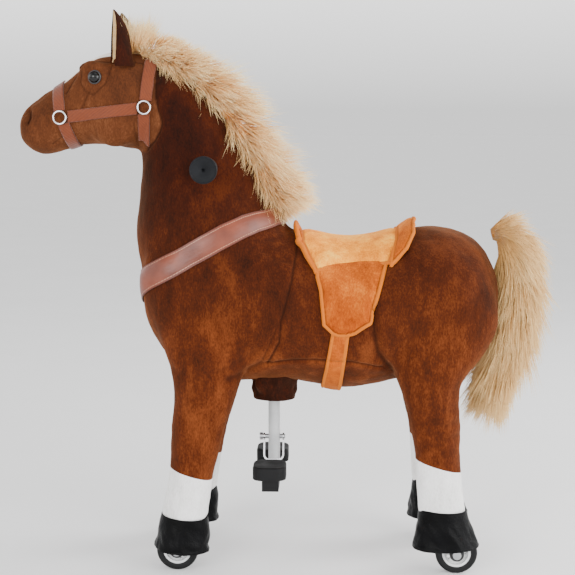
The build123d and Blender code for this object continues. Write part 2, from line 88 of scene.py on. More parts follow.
def velour(name, colours, look):  # knitted pile: brushed patches, a grain of fibre tips, soft sheen
    material, tree, shader, place = startMaterial(
        name, Roughness=look["rough"], Sheen_Weight=look["sheen"], Sheen_Roughness=0.45,
        Sheen_Tint=linear(look["sheenTint"]), Specular_IOR_Level=0.12)
    turned = addNode(tree, "Mapping", {"Vector": place, "Scale": look["flow"]}).outputs[0]
    nap = addNode(tree, "TexNoise", {"Vector": turned, "Scale": 1000 / look["napMm"], "Detail": 5.0,
                                     "Roughness": 0.62, "Distortion": 0.6}).outputs[0]
    mottle = addNode(tree, "TexNoise", {"Vector": turned, "Scale": 1000 / look["mottleMm"], "Detail": 3.0,
                                        "Roughness": 0.6}).outputs[0]
    fibre = addNode(tree, "TexNoise", {"Vector": turned, "Scale": 1000 / look["pileMm"], "Detail": 2.0,
                                       "Roughness": 0.7}).outputs[0]
    mixed = addNode(tree, "Math", {0: mottle, 1: look["mottle"], 2: nap}, operation="MULTIPLY_ADD").outputs[0]
    mixed = addNode(tree, "Math", {0: fibre, 1: look["grain"], 2: mixed}, operation="MULTIPLY_ADD").outputs[0]
    lift = (look["mottle"] + look["grain"]) / 2
    level = addNode(tree, "MapRange", {"Value": mixed, "From Min": 0.28 + lift, "From Max": 0.72 + lift}).outputs[0]
    stops = list(zip((0.0, 1.0, 0.5), (colours[0], colours[2], colours[1])))
    colour = addNode(tree, "ValToRGB", {"Fac": level}, stops=stops).outputs[0]
    # painted shade in the grooves of seams and creases, read from the mesh
    paintedGrooveShade = addNode(tree, "Attribute", attribute_name="paintedGrooveShade").outputs["Fac"]
    if "paintedShadeByHeight" in look:  # painted shade: a ramp darkens the colour from one height to another
        low, high, shades = look["paintedShadeByHeight"]
        tall = addNode(tree, "SeparateXYZ", {"Vector": place}).outputs["Z"]
        share = addNode(tree, "MapRange", {"Value": tall, "From Min": low, "From Max": high}).outputs[0]
        paintedShade = addNode(tree, "ValToRGB", {"Fac": share}, stops=shades).outputs[0]
        colour = addNode(tree, "Mix", {"Factor": 1.0, "A": colour, "B": paintedShade}, data_type="RGBA",
                         blend_type="MULTIPLY").outputs["Result"]
    shade = addNode(tree, "Mix", {"Factor": paintedGrooveShade, "A": colour, "B": linear(look["paintedGrooveShade"])}, data_type="RGBA")
    if "blaze" in look:  # the head's own lighter velour, then the white panel sewn down the middle of the face
        headRamp = addNode(tree, "ValToRGB", {"Fac": level}, stops=look["headStops"]).outputs[0]
        onHead = addNode(tree, "Attribute", attribute_name="face").outputs["Fac"]
        headShade = addNode(tree, "Mix", {"Factor": paintedGrooveShade, "A": headRamp, "B": linear(look["paintedGrooveShade"])},
                            data_type="RGBA")
        both = addNode(tree, "Mix", {"Factor": onHead, "A": shade.outputs["Result"],
                                     "B": headShade.outputs["Result"]}, data_type="RGBA").outputs["Result"]
        patch = addNode(tree, "Attribute", attribute_name="blaze").outputs["Fac"]
        shade = addNode(tree, "Mix", {"Factor": patch, "A": both, "B": linear(look["blaze"])}, data_type="RGBA")
    edge = addNode(tree, "Attribute", attribute_name="edge").outputs["Fac"]
    surface = shade.outputs["Result"]
    if "binding" in look:  # a folded edge tape, 6 mm wide
        bound = addNode(tree, "MapRange", {"Value": edge, "From Min": 0.0062, "From Max": 0.0052}).outputs[0]
        surface = addNode(tree, "Mix", {"Factor": bound, "A": surface, "B": linear(look["binding"])},
                          data_type="RGBA").outputs["Result"]
    tree.links.new(surface, shader.inputs["Base Color"])
    height = addNode(tree, "Math", {0: fibre, 1: 0.7, 2: mottle}, operation="MULTIPLY_ADD").outputs[0]
    bump = addNode(tree, "Bump", {"Height": height, "Strength": look["bump"], "Distance": 0.0016})
    tree.links.new(bump.outputs[0], shader.inputs["Normal"])
    return material


velourLook = {"rough": 0.9, "sheen": 0.17, "sheenTint": "#f0a060", "flow": (1, 1, 0.45), "napMm": 75,
              "mottleMm": 14, "pileMm": 2.4, "mottle": 0.3, "grain": 0.5, "paintedGrooveShade": "#200a02", "bump": 0.45}
# Polyester velour, knitted and sheared: a short dense pile; painted shade darkens it towards the top of the body
bodyVelour = velour("velour_brown_knitted", ("#2c1003", "#4b1e07", "#6e3616"),
                    {**velourLook, "blaze": "#ece7df",
                     "paintedShadeByHeight": (0.36, 0.66, [(0.0, "#ffffff"), (1.0, "#a48c62")]),
                     "headStops": [(0.0, "#3c1e0e"), (1.0, "#6c4026"), (0.5, "#522b15")]})
# The same velour gathered small, darker and without shine; the darkness is partly a darker cloth and partly painted
# shade among the gathers
cuffVelour = velour("velour_dark_brown_gathered", ("#140602", "#260d03", "#421806"), {**velourLook, "sheen": 0.12})
# Polyester velour over foam; painted shade darkens the flaps towards their bottom edge
saddleVelour = velour("velour_tan_quilted", ("#8a3a08", "#b85a12", "#dc8028"),
                      {**velourLook, "sheenTint": "#ffc070", "paintedGrooveShade": "#5c2808", "napMm": 90, "binding": "#bd6418",
                       "paintedShadeByHeight": (0.41, 0.53, [(0.0, "#d8c090"), (1.0, "#ffffff")])})
# The saddle's velour as a narrow strap, with no painted shade by height
girthVelour = velour("velour_tan_strap", ("#8c3c0a", "#b05412", "#c66e20"),
                     {**velourLook, "sheenTint": "#ffc070", "paintedGrooveShade": "#5c2808", "binding": "#bd6418"})
# The seat's velour: pale in small patches, and lighter than the flaps' velour, partly its own colour and partly
# painted light on the upward-facing seat
seatVelour = velour("velour_tan_pale_painted_lit", ("#cc6f0e", "#f09520", "#ffbc48"),
                    {**velourLook, "sheenTint": "#ffd090", "paintedGrooveShade": "#6b3410", "napMm": 36, "binding": "#bd651c"})
# White polyester plush: fibres stand up, so it is matt and almost shadowless
whitePlush = velour("plush_white_sheared", ("#cfcdca", "#e6e4e2", "#f4f3f2"),
                    {**velourLook, "sheenTint": "#ffffff", "sheen": 0.3, "paintedGrooveShade": "#8f8a86", "mottleMm": 9})
# Short cream plush in the ears: warm and soft-edged
creamPlush = velour("plush_cream_lining", ("#c9a878", "#dcc298", "#ecd8b6"),
                    {**velourLook, "sheenTint": "#ffffff", "sheen": 0.3, "paintedGrooveShade": "#8f6b45", "mottleMm": 7})


def longPile(name, root, middle, tip):  # combed acrylic hair: each lock has its own tone, darker at its root
    material, tree, shader, place = startMaterial(name, Roughness=0.62, Sheen_Weight=0.25, Sheen_Roughness=0.4,
                                                  Sheen_Tint=linear("#fff0d8"), Specular_IOR_Level=0.3)
    along = addNode(tree, "Attribute", attribute_name="along").outputs["Fac"]
    tone = addNode(tree, "Attribute", attribute_name="tone").outputs["Fac"]
    patch = addNode(tree, "TexNoise", {"Vector": place, "Scale": 28.0, "Detail": 2.0}).outputs[0]
    mixed = addNode(tree, "Math", {0: tone, 1: 0.34, 2: along}, operation="MULTIPLY_ADD").outputs[0]
    mixed = addNode(tree, "Math", {0: patch, 1: 0.4, 2: mixed}, operation="MULTIPLY_ADD").outputs[0]
    level = addNode(tree, "MapRange", {"Value": mixed, "From Min": 0.2, "From Max": 1.45}).outputs[0]
    colour = addNode(tree, "ValToRGB", {"Fac": level}, stops=[(0.0, root), (1.0, tip), (0.45, middle)])
    tree.links.new(colour.outputs[0], shader.inputs["Base Color"])
    return material


# Combed acrylic pile: a honey mane with pale tips, and a slightly greyer tail
maneHair = longPile("acrylic_hair_honey", "#c9853a", "#f6be74", "#ffecb8")
tailHair = longPile("acrylic_hair_ash_honey", "#9c6429", "#d39f5b", "#eeca8c")


def webbing(name, base, dark, pitchMm):  # twill tape: slanting ribs two threads wide, firm and matt
    material, tree, shader, place = startMaterial(name, Roughness=0.62, Sheen_Weight=0.25, Sheen_Roughness=0.5,
                                                  Specular_IOR_Level=0.25)
    cloth = addNode(tree, "UVMap", uv_map="cloth").outputs[0]
    turned = addNode(tree, "Mapping", {"Vector": cloth, "Rotation": (0, 0, radians(58))}).outputs[0]
    rib = addNode(tree, "TexWave", {"Vector": turned, "Scale": 314 / pitchMm / 2, "Distortion": 0.4,
                                    "Detail": 1.0, "Detail Scale": 2.0}, wave_profile="SIN").outputs[0]
    wear = addNode(tree, "TexNoise", {"Vector": place, "Scale": 130.0, "Detail": 3.0}).outputs[0]
    level = addNode(tree, "Math", {0: rib, 1: 0.45, 2: wear}, operation="MULTIPLY_ADD").outputs[0]
    colour = addNode(tree, "ValToRGB", {"Fac": level}, stops=[(0.25, dark), (0.9, base)]).outputs[0]
    edge = addNode(tree, "Attribute", attribute_name="edge").outputs["Fac"]
    selvedge = addNode(tree, "MapRange", {"Value": edge, "From Min": 0.0016, "From Max": 0.0006}).outputs[0]
    colour = addNode(tree, "Mix", {"Factor": selvedge, "A": colour, "B": linear(dark)}, data_type="RGBA")
    tree.links.new(colour.outputs["Result"], shader.inputs["Base Color"])
    bump = addNode(tree, "Bump", {"Height": rib, "Strength": 0.4, "Distance": 0.0005})
    tree.links.new(bump.outputs[0], shader.inputs["Normal"])
    return material


# Woven polypropylene tape; the rib is drawn 2 mm wide, twice its real size, so that it shows
halterTape = webbing("webbing_twill_chestnut", "#6c2e0a", "#5c2608", 2.2)


def leatherette(name, low, high, rough, grainMm, grainBump, coat=0.0, specular=0.45,
                thread=None):  # embossed PVC: pebble grain, low gloss
    material, tree, shader, place = startMaterial(name, Roughness=rough, Specular_IOR_Level=specular, Coat_Weight=coat,
                                                  Coat_Roughness=0.35)
    grain = addNode(tree, "TexVoronoi", {"Vector": place, "Scale": 1000 / grainMm}, feature="SMOOTH_F1").outputs[0]
    cloud = addNode(tree, "TexNoise", {"Vector": place, "Scale": 26.0, "Detail": 4.0}).outputs[0]
    crease = addNode(tree, "TexNoise", {"Vector": place, "Scale": 85.0, "Detail": 5.0, "Distortion": 1.2}).outputs[0]
    colour = addNode(tree, "ValToRGB", {"Fac": cloud}, stops=[(0.3, low), (0.75, high)]).outputs[0]
    edge = addNode(tree, "Attribute", attribute_name="edge").outputs["Fac"]
    turnedEdge = addNode(tree, "MapRange", {"Value": edge, "From Min": 0.0022, "From Max": 0.001}).outputs[0]
    colour = addNode(tree, "Mix", {"Factor": turnedEdge, "A": colour, "B": linear(low)}, data_type="RGBA")
    if thread:  # one row of stitches, 4 mm long, set in from each edge
        cloth = addNode(tree, "UVMap", uv_map="cloth").outputs[0]
        run = addNode(tree, "SeparateXYZ", {"Vector": cloth}).outputs["X"]
        dash = addNode(tree, "Math", {0: run, 1: 0.0052}, operation="MODULO").outputs[0]
        dash = addNode(tree, "Math", {0: dash, 1: 0.0037}, operation="LESS_THAN").outputs[0]
        row = addNode(tree, "Math", {0: edge, 1: 0.0042, 2: 0.00045}, operation="COMPARE").outputs[0]
        sewn = addNode(tree, "Math", {0: dash, 1: row}, operation="MULTIPLY").outputs[0]
        colour = addNode(tree, "Mix", {"Factor": sewn, "A": colour.outputs["Result"], "B": linear(thread)},
                         data_type="RGBA")
    tree.links.new(colour.outputs["Result"], shader.inputs["Base Color"])
    height = addNode(tree, "Math", {0: crease, 1: 1.4, 2: grain}, operation="MULTIPLY_ADD").outputs[0]
    bump = addNode(tree, "Bump", {"Height": height, "Strength": grainBump, "Distance": 0.0008})
    tree.links.new(bump.outputs[0], shader.inputs["Normal"])
    return material


# Firm band: a broad soft highlight, paler thread along both edges
collarLeather = leatherette("leatherette_brown_embossed", "#56200a", "#7d3a22", 0.4, 1.6, 0.25, coat=0.1,
                            thread="#a8765a")
# Limp cover: near black, with its wrinkles drawn by dull highlights
hoofLeather = leatherette("leatherette_black_soft", "#030303", "#08080a", 0.4, 2.2, 0.6, specular=0.07)


def hardPart(name, low, high, rough, metallic=0.0, grainMm=3.0, bumpStrength=0.1, stretch=(1, 1, 1), coat=0.0,
             specular=0.5):  # moulded, painted or plated: an even colour with handling marks in gloss
    material, tree, shader, place = startMaterial(name, Metallic=metallic, Coat_Weight=coat, Coat_Roughness=0.12,
                                                  Specular_IOR_Level=specular)
    turned = addNode(tree, "Mapping", {"Vector": place, "Scale": stretch}).outputs[0]
    grain = addNode(tree, "TexNoise", {"Vector": turned, "Scale": 1000 / grainMm, "Detail": 3.0}).outputs[0]
    cloud = addNode(tree, "TexNoise", {"Vector": place, "Scale": 34.0, "Detail": 4.0}).outputs[0]
    colour = addNode(tree, "ValToRGB", {"Fac": cloud}, stops=[(0.3, low), (0.75, high)]).outputs[0]
    tree.links.new(colour, shader.inputs["Base Color"])
    gloss = addNode(tree, "MapRange", {"Value": cloud, "From Min": 0.3, "From Max": 0.7, "To Min": rough * 0.85,
                                       "To Max": min(rough * 1.25, 1.0)}).outputs[0]
    tree.links.new(gloss, shader.inputs["Roughness"])
    bump = addNode(tree, "Bump", {"Height": grain, "Strength": bumpStrength, "Distance": 0.0003})
    tree.links.new(bump.outputs[0], shader.inputs["Normal"])
    return material


# Baked powder coat: satin, with a fine orange peel
blackPaint = hardPart("steel_powder_coated_black", "#151516", "#1e1e20", 0.5, bumpStrength=0.3, grainMm=1.2)
# Stoved enamel: smoother and shinier, and pale
greyPaint = hardPart("steel_enamelled_pale_grey", "#a9abac", "#c2c3c3", 0.32, coat=0.3, grainMm=2.0)
# Zinc plating drawn along the tube: soft grey reflections
zincSteel = hardPart("steel_zinc_plated", "#9a9b9d", "#c2c3c5", 0.3, metallic=1.0, grainMm=0.8,
                     stretch=(1, 1, 0.1))
# Polished nickel wire: small sharp highlights
brightWire = hardPart("steel_nickel_plated_bright", "#c9c9cb", "#e6e6e8", 0.16, metallic=1.0, bumpStrength=0.03)
# Waxy ivory bearing plastic
nylon = hardPart("nylon_moulded_ivory", "#b9b5aa", "#cbc8be", 0.5)
# Sanded birch face: grain drawn out along the board
birchPly = hardPart("plywood_birch_sanded", "#a4805a", "#c9a67c", 0.6, stretch=(0.1, 1, 1), grainMm=2.0,
                    bumpStrength=0.3)
# Rubbers: matt, from the softest grip to the hardest tyre
gripRubber = hardPart("rubber_moulded_charcoal", "#0d0e10", "#191a1d", 0.6, grainMm=0.9, bumpStrength=0.35,
                      specular=0.14)
pegRubber = hardPart("rubber_moulded_black", "#0a0a0b", "#151516", 0.66, grainMm=1.1, bumpStrength=0.4,
                     specular=0.2)
tyreRubber = hardPart("polyurethane_tyre_black", "#060607", "#0e0e0f", 0.5, grainMm=1.5, bumpStrength=0.25,
                      specular=0.25)
# Glossy white moulding of the hubs
hubPlastic = hardPart("abs_moulded_white", "#cfd0d0", "#e4e4e4", 0.35, coat=0.1)
# Polished ball: one bright point of light; its rim is duller
eyeGloss = hardPart("acrylic_eye_polished_black", "#020202", "#050404", 0.05, bumpStrength=0.0, specular=0.35)
eyeRimGrey = hardPart("plastic_eye_rim_grey", "#151517", "#242427", 0.35)
print("materials made")

keptNodes = {  # CAD pieces that stay as they are and only get a material
    "main_frame": blackPaint, "steering_column": blackPaint, "head_frame": blackPaint, "front_fork": blackPaint,
    "rear_fork": blackPaint, "head_tube_bushes": nylon, "saddle_board": birchPly, "board_screws": zincSteel,
    "stop_collar": zincSteel, "front_fork_axle": zincSteel, "rear_fork_axle": zincSteel, "handlebar": zincSteel,
    "front_wheel_bolts": zincSteel, "rear_wheel_bolts": zincSteel, "footrest_tee": zincSteel, "lock_pin": zincSteel,
    "lock_bail": brightWire, "halter_rings": brightWire, "footrest_post": greyPaint, "foot_pegs": pegRubber,
    "grips": gripRubber,
}
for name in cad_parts:
    if "tyre" in name:
        keptNodes[name] = tyreRubber
    if "hub" in name:
        keptNodes[name] = hubPlastic
for name, material in keptNodes.items():
    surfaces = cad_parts[name].data.materials
    surfaces.clear()
    surfaces.append(material)


def finishPiece(bm, name, material, body=None, node=None):  # an object that rides a body, in place of a node
    mesh = bpy.data.meshes.new(name)
    bm.to_mesh(mesh)
    bm.free()
    mesh.shade_smooth()
    mesh.materials.append(material)
    piece = bpy.data.objects.new(name, mesh)
    bpy.context.scene.collection.objects.link(piece)
    if body:
        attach(piece, body)
    if node:
        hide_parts(node)
    return piece


def settle(piece):  # turns the live modifiers into plain mesh
    bpy.context.view_layer.update()
    shaped = bpy.data.meshes.new_from_object(piece.evaluated_get(bpy.context.evaluated_depsgraph_get()))
    piece.modifiers.clear()
    piece.data = shaped
    return piece


def soften(bm, verts, factor):
    bmesh.ops.smooth_vert(bm, verts=verts, factor=factor, use_axis_x=True, use_axis_y=True, use_axis_z=True)


def ringPlace(centre, sideways, upwards):  # where a unit circle goes, from its middle and two half axes, in mm
    a, b = Vector(sideways), Vector(upwards)
    across = a.cross(b).normalized()
    columns = (a * mm, b * mm, across, Vector(centre) * mm)
    return Matrix([[c[row] for c in columns] for row in range(3)] + [[0, 0, 0, 1]])


def bridgeRings(bm, places, segments, capped=True):  # a form drawn through rings
    rings = []
    for i, place in enumerate(places):
        atEnd = i in (0, len(places) - 1)
        made = bmesh.ops.create_circle(bm, cap_ends=capped and atEnd, segments=segments, radius=1.0, matrix=place)
        rings.append({e for v in made["verts"] for e in v.link_edges})
    for a, b in zip(rings, rings[1:]):
        bmesh.ops.bridge_loops(bm, edges=list(a | b))


def evenRows(rows, steps=3):  # a smooth curve through a few rows of sizes
    out = []
    for i in range(len(rows) - 1):
        around = [rows[max(i - 1, 0)], rows[i], rows[i + 1], rows[min(i + 2, len(rows) - 1)]]
        for k in range(steps):
            t = k / steps
            out.append([0.5 * (2 * q + (r - p) * t + (2 * p - 5 * q + 4 * r - s) * t * t
                               + (3 * q - p - 3 * r + s) * t ** 3) for p, q, r, s in zip(*around)])
    return out + [list(rows[-1])]


def between(table, value):  # straight-line reading of a table of (value, results...)
    columns = list(zip(*table))
    return [float(np.interp(value, columns[0], c)) for c in columns[1:]]


# the stuffed body, made whole and then cut at its seams; rows of x or height, then edges and half width
stuffed = {
    "torso": [(-243, 446, 500, 34), (-235, 402, 556, 72), (-201, 346, 592, 98), (-150, 314, 606, 108),
              (-100, 308, 602, 113), (-50, 309, 588, 115), (0, 312, 573, 116), (50, 304, 554, 118),
              (100, 297, 546, 121), (150, 305, 552, 126), (200, 318, 568, 131), (250, 332, 575, 131),
              (300, 346, 563, 117), (335, 376, 532, 86), (355, 412, 488, 44)],
    "neck": [((-232, 425), (6, 540), 104), ((-245, 480), (0, 574), 102), ((-257, 560), (-27, 622), 92),
             ((-250, 630), (-60, 685), 80), ((-246, 680), (-92, 742), 71), ((-247, 722), (-120, 783), 63),
             ((-252, 765), (-152, 813), 56), ((-262, 805), (-198, 838), 44)],
    "head": [(-205, 752, 842, 40), (-222, 722, 856, 52), (-245, 705, 863, 59), (-275, 706, 867, 61),
             (-305, 711, 864, 58), (-332, 712, 853, 53), (-356, 709, 832, 48), (-385, 699, 811, 43),
             (-410, 694, 796, 40), (-432, 700, 781, 35), (-446, 713, 768, 26), (-453, 728, 753, 12)],
    # legs: height, front, back, half width, middle across
    "foreleg": [(440, -226, -50, 52, 52), (400, -216, -56, 50, 62), (356, -197, -61, 45, 78),
                (308, -187, -79, 40, 88), (240, -191, -101, 36, 90), (181, -195, -117, 34, 90),
                (150, -198, -123, 34, 90), (86, -211, -131, 36, 90)],
    "hindleg": [(480, 176, 344, 56, 62), (440, 160, 352, 58, 68), (404, 154, 348, 54, 75), (370, 165, 328, 49, 82),
                (344, 177, 308, 45, 87), (320, 187, 291, 42, 90), (294, 195, 288, 39, 92), (243, 207, 291, 36, 92),
                (210, 214, 290, 35, 92), (187, 216, 292, 34, 92), (140, 219, 296, 34, 92), (98, 223, 303, 36, 92)],
    # cheeks, nostril wings and brows: centre and half sizes
    "lumps": [((-287, 36, 748), (44, 25, 40)), ((-430, 20, 745), (20, 17, 24)), ((-318, 38, 838), (30, 15, 14))],
    "voxelMm": 5.0, "relax": 7,
}


def makeWholeBody():
    bm = bmesh.new()
    for part in ("torso", "head"):
        bridgeRings(bm, [ringPlace((x, 0, (lo + hi) / 2), (0, half, 0), (0, 0, (hi - lo) / 2))
                         for x, lo, hi, half in evenRows(stuffed[part])], 40)
    neckRows = [(fx, fz, cx, cz, half) for (fx, fz), (cx, cz), half in stuffed["neck"]]
    bridgeRings(bm, [ringPlace(((fx + cx) / 2, 0, (fz + cz) / 2), ((cx - fx) / 2, 0, (cz - fz) / 2), (0, half, 0))
                     for fx, fz, cx, cz, half in evenRows(neckRows)], 40)
    for leg in ("foreleg", "hindleg"):
        for side in (-1, 1):
            bridgeRings(bm, [ringPlace(((f + b) / 2, side * middle, z), ((b - f) / 2, 0, 0), (0, half, 0))
                             for z, f, b, half, middle in evenRows(stuffed[leg])], 32)
    for (x, y, z), size in stuffed["lumps"]:
        for side in (-1, 1):
            place = Matrix.Translation(Vector((x, side * y, z)) * mm) @ Matrix.Diagonal((*(Vector(size) * mm), 1))
            bmesh.ops.create_uvsphere(bm, u_segments=24, v_segments=16, radius=1.0, matrix=place)
    bmesh.ops.recalc_face_normals(bm, faces=bm.faces)
    body = finishPiece(bm, "wholeBody", bodyVelour)
    remesh = body.modifiers.new("whole", "REMESH")
    remesh.mode, remesh.voxel_size = "VOXEL", stuffed["voxelMm"] * mm
    settle(body)
    bm = bmesh.new()
    bm.from_mesh(body.data)
    for i in range(stuffed["relax"]):
        soften(bm, bm.verts, 0.5)
    bm.to_mesh(body.data)
    bm.free()
    finer = body.modifiers.new("finer", "SUBSURF")
    finer.levels = finer.render_levels = 1
    return settle(body)


# Seams and creases in side view: points x, z in mm, how deep, how wide, how much painted shade lies in the groove, and
# the least |y| they reach
creases = [
    ([(21, 560), (10, 490), (-7, 426), (-10, 389), (-31, 350)], 2.6, 3.2, 0.85, 60),  # shoulder seam
    ([(-12, 421), (-24, 390), (-38, 360)], 1.4, 2.6, 0.5, 60),
    ([(-31, 352), (10, 358), (52, 361), (110, 358), (160, 348)], 2.4, 3.0, 0.7, 60),  # belly seam
    ([(143, 450), (145, 410), (152, 375), (176, 340)], 5.0, 6.5, 0.7, 80),  # flank fold
    ([(176, 340), (190, 308), (204, 270), (210, 230)], 1.6, 3.0, 0.5, 60),  # thigh seam
    ([(-40, 352), (-66, 338), (-92, 330)], 4.0, 7.0, 0.5, 50),  # elbow folds
    ([(-50, 372), (-84, 352), (-120, 344)], 2.4, 8.0, 0.2, 70),
    ([(-196, 350), (-170, 338), (-140, 334)], 1.8, 8.0, 0.15, 70),
    ([(236, 268), (262, 258), (292, 262)], 1.8, 7.0, 0.2, 70),  # hock wrinkles
    ([(232, 246), (262, 234), (292, 240)], 1.6, 6.0, 0.2, 70),
    ([(240, 292), (268, 282), (292, 290)], 1.6, 8.0, 0.15, 70),
    ([(-36, 540), (-20, 528), (6, 524)], 1.6, 6.0, 0.15, 70),
    ([(28, 500), (16, 470), (14, 440)], 1.8, 9.0, 0.1, 70),
    ([(-366, 797), (-345, 836), (-330, 852), (-300, 848), (-284, 847)], 1.6, 2.4, 0.8, 22),  # brow panel
    ([(-340, 833), (-342, 815), (-332, 800), (-318, 794), (-298, 812), (-287, 846)], 1.2, 2.4, 0.55, 30),
    ([(-284, 847), (-262, 848), (-238, 846)], 1.4, 2.4, 0.6, 30),
    ([(-326, 800), (-332, 786), (-338, 772)], 1.4, 2.6, 0.55, 30),
    ([(-318, 736), (-312, 718), (-300, 708)], 1.4, 3.0, 0.35, 24),
    ([(-216, 812), (-216, 790), (-210, 765), (-205, 748), (-208, 735), (-217, 720), (-232, 704)],
     2.4, 3.0, 0.75, 16),
    ([(-252, 748), (-250, 724), (-249, 708)], 1.0, 2.4, 0.4, 30),
    ([(-441, 757), (-430, 778), (-402, 797)], 1.2, 2.2, 0.5, 12),  # nose panel
    ([(-393, 712), (-384, 718), (-373, 726)], 1.2, 2.2, 0.5, 16),
    ([(-431, 768), (-429, 757), (-433, 747)], 4.5, 3.8, 1.0, 12),  # nostril
]


def shapeSurface(mesh):  # presses the seams in, paints shade into their grooves and gives the stuffing its small unevenness
    count = len(mesh.vertices)
    spots, normals = np.empty(count * 3), np.empty(count * 3)
    mesh.vertices.foreach_get("co", spots)
    mesh.vertices.foreach_get("normal", normals)
    spots, normals = spots.reshape(-1, 3), normals.reshape(-1, 3)
    move, dark = np.zeros(count), np.zeros(count)
    side = np.clip(np.abs(normals[:, 1]) * 1.6, 0, 1)
    for points, depth, width, shade, reach in creases:
        near = np.full(count, 1e9)
        for a, b in zip(points, points[1:]):
            a, b = np.array(a) * mm, np.array(b) * mm
            t = np.clip(((spots[:, [0, 2]] - a) @ (b - a)) / ((b - a) @ (b - a)), 0, 1)
            near = np.minimum(near, np.linalg.norm(spots[:, [0, 2]] - a - t[:, None] * (b - a), axis=1))
        near /= width * mm
        here = side * (np.abs(spots[:, 1]) > reach * mm * 0.8)
        fall, puff = np.exp(-near ** 2) * here, np.exp(-((near - 2.2) / 1.6) ** 2) * here
        move += (-depth * fall + 0.22 * depth * puff) * mm
        # painted shade along the middle of each seam and crease
        dark = np.maximum(dark, shade * np.exp(-(near / 0.55) ** 2) * here)
    uneven = np.array([noise.noise(Vector(p) * 26) * 1.5 + noise.noise(Vector(p) * 62) * 0.6 for p in spots])
    spots += normals * (move + uneven * mm)[:, None]
    mesh.vertices.foreach_set("co", spots.ravel())
    # the head's velour ends at a seam behind the cheek
    behind = np.interp(spots[:, 2], np.array([704, 720, 735, 748, 765, 790, 830, 866]) * mm,
                       np.array([-232, -217, -208, -205, -210, -216, -216, -212]) * mm)
    head = np.clip((behind - spots[:, 0]) / 0.0014 + 0.5, 0, 1) * np.clip((spots[:, 2] - 0.699) / 0.0014, 0, 1)
    head = np.where(spots[:, 0] < -0.262, np.where(spots[:, 2] > 0.66, 1.0, 0.0), head)
    # white panel: from between the ears to just above the noseband, on the upward faces
    half = np.interp(spots[:, 0], [-0.392, -0.375, -0.33, -0.29, -0.262], [0.008, 0.016, 0.022, 0.026, 0.019])
    panel = np.clip((half - np.abs(spots[:, 1])) / 0.0016 + 0.5, 0, 1)
    panel *= (spots[:, 0] > -0.394) * (spots[:, 0] < -0.258) * (spots[:, 2] > 0.79)
    for label, values in (("paintedGrooveShade", dark), ("face", head), ("blaze", panel)):
        layer = mesh.attributes.new(label, "FLOAT", "POINT")
        layer.data.foreach_set("value", values.astype(np.float32))
    mesh.update()


print("making the stuffed body")
wholeBody = makeWholeBody()
shapeSurface(wholeBody.data)
skinTree = BVHTree.FromObject(wholeBody, bpy.context.evaluated_depsgraph_get())

collarSlope = radians(26)
cuts = {  # planes through a point, with a normal, in mm
    "collar": ((-122, 0, 535), (-sin(collarSlope), 0, cos(collarSlope))),
    "throat": ((0, 0, 700), (0, 0, 1)), "poll": ((-215, 0, 760), (-1, 0, -0.18)),
    "shoulder": ((-60, 0, 400), (1, 0, 0)), "flank": ((165, 0, 400), (1, 0, 0)), "foreTop": ((0, 0, 365), (0, 0, 1)),
    "hindTop": ((0, 0, 402), (0, 0, 1)), "innerLeft": ((0, -46, 0), (0, 1, 0)), "innerRight": ((0, 46, 0), (0, 1, 0)),
    "elbow": ((-48, 0, 365), (1, 0, 0.38)), "thigh": ((146, 0, 411), (1, 0, 0.39)),
    "elbowLow": ((0, 0, 318), (0, 0, 1)), "groin": ((0, 0, 316), (0, 0, 1)),
    "foreSock": ((-161, 0, 168.5), (0.31, 0, 1)), "hindSock": ((253, 0, 185), (0.29, 0, 1)),
}


def sideOf(name, spot):  # positive on the side that the plane's normal points to
    point, normal = cuts[name]
    return (spot - Vector(point) * mm).dot(Vector(normal))


def regionOf(spot):  # the skin that a face of the whole body belongs to
    side = "Left" if spot.y < 0 else "Right"
    legs = abs(spot.y) > 0.046
    if spot.x < 0.05:
        if sideOf("foreSock", spot) < 0:
            return "foreSock" + side
        if sideOf("foreTop", spot) < 0 and sideOf("elbow", spot) < 0 and legs:
            return "foreleg" + side
        if sideOf("elbowLow", spot) < 0 and spot.x < -0.09:
            return "foreleg" + side
    else:
        if sideOf("hindSock", spot) < 0:
            return "hindSock" + side
        if sideOf("hindTop", spot) < 0 and sideOf("thigh", spot) > 0 and legs:
            return "hindleg" + side
        if sideOf("groin", spot) < 0 and spot.x > 0.17:
            return "hindleg" + side
    if sideOf("poll", spot) > 0 and sideOf("throat", spot) > 0:
        return "head"
    if sideOf("collar", spot) > 0 and spot.x < 0.02 and spot.z > 0.43:
        return "neck"
    if sideOf("shoulder", spot) < 0:
        return "chest"
    return "barrel" if sideOf("flank", spot) < 0 else "rump"


def cutBody():  # a mesh for each region, and the whole body's normals by position
    bm = bmesh.new()
    bm.from_mesh(wholeBody.data)
    for point, normal in cuts.values():
        bmesh.ops.bisect_plane(bm, geom=bm.verts[:] + bm.edges[:] + bm.faces[:], dist=1e-6,
                               plane_co=Vector(point) * mm, plane_no=Vector(normal))
    bm.normal_update()
    bm.faces.index_update()
    faces = {}
    for face in bm.faces:
        faces.setdefault(regionOf(face.calc_center_median()), set()).add(face.index)
    parts = {}
    for name, chosen in faces.items():
        part = bm.copy()
        part.faces.ensure_lookup_table()
        bmesh.ops.delete(part, geom=[f for f in part.faces if f.index not in chosen], context="FACES")
        parts[name] = part
    whole = {tuple(round(c, 7) for c in v.co): v.normal.copy() for v in bm.verts}
    bm.free()
    return parts, whole


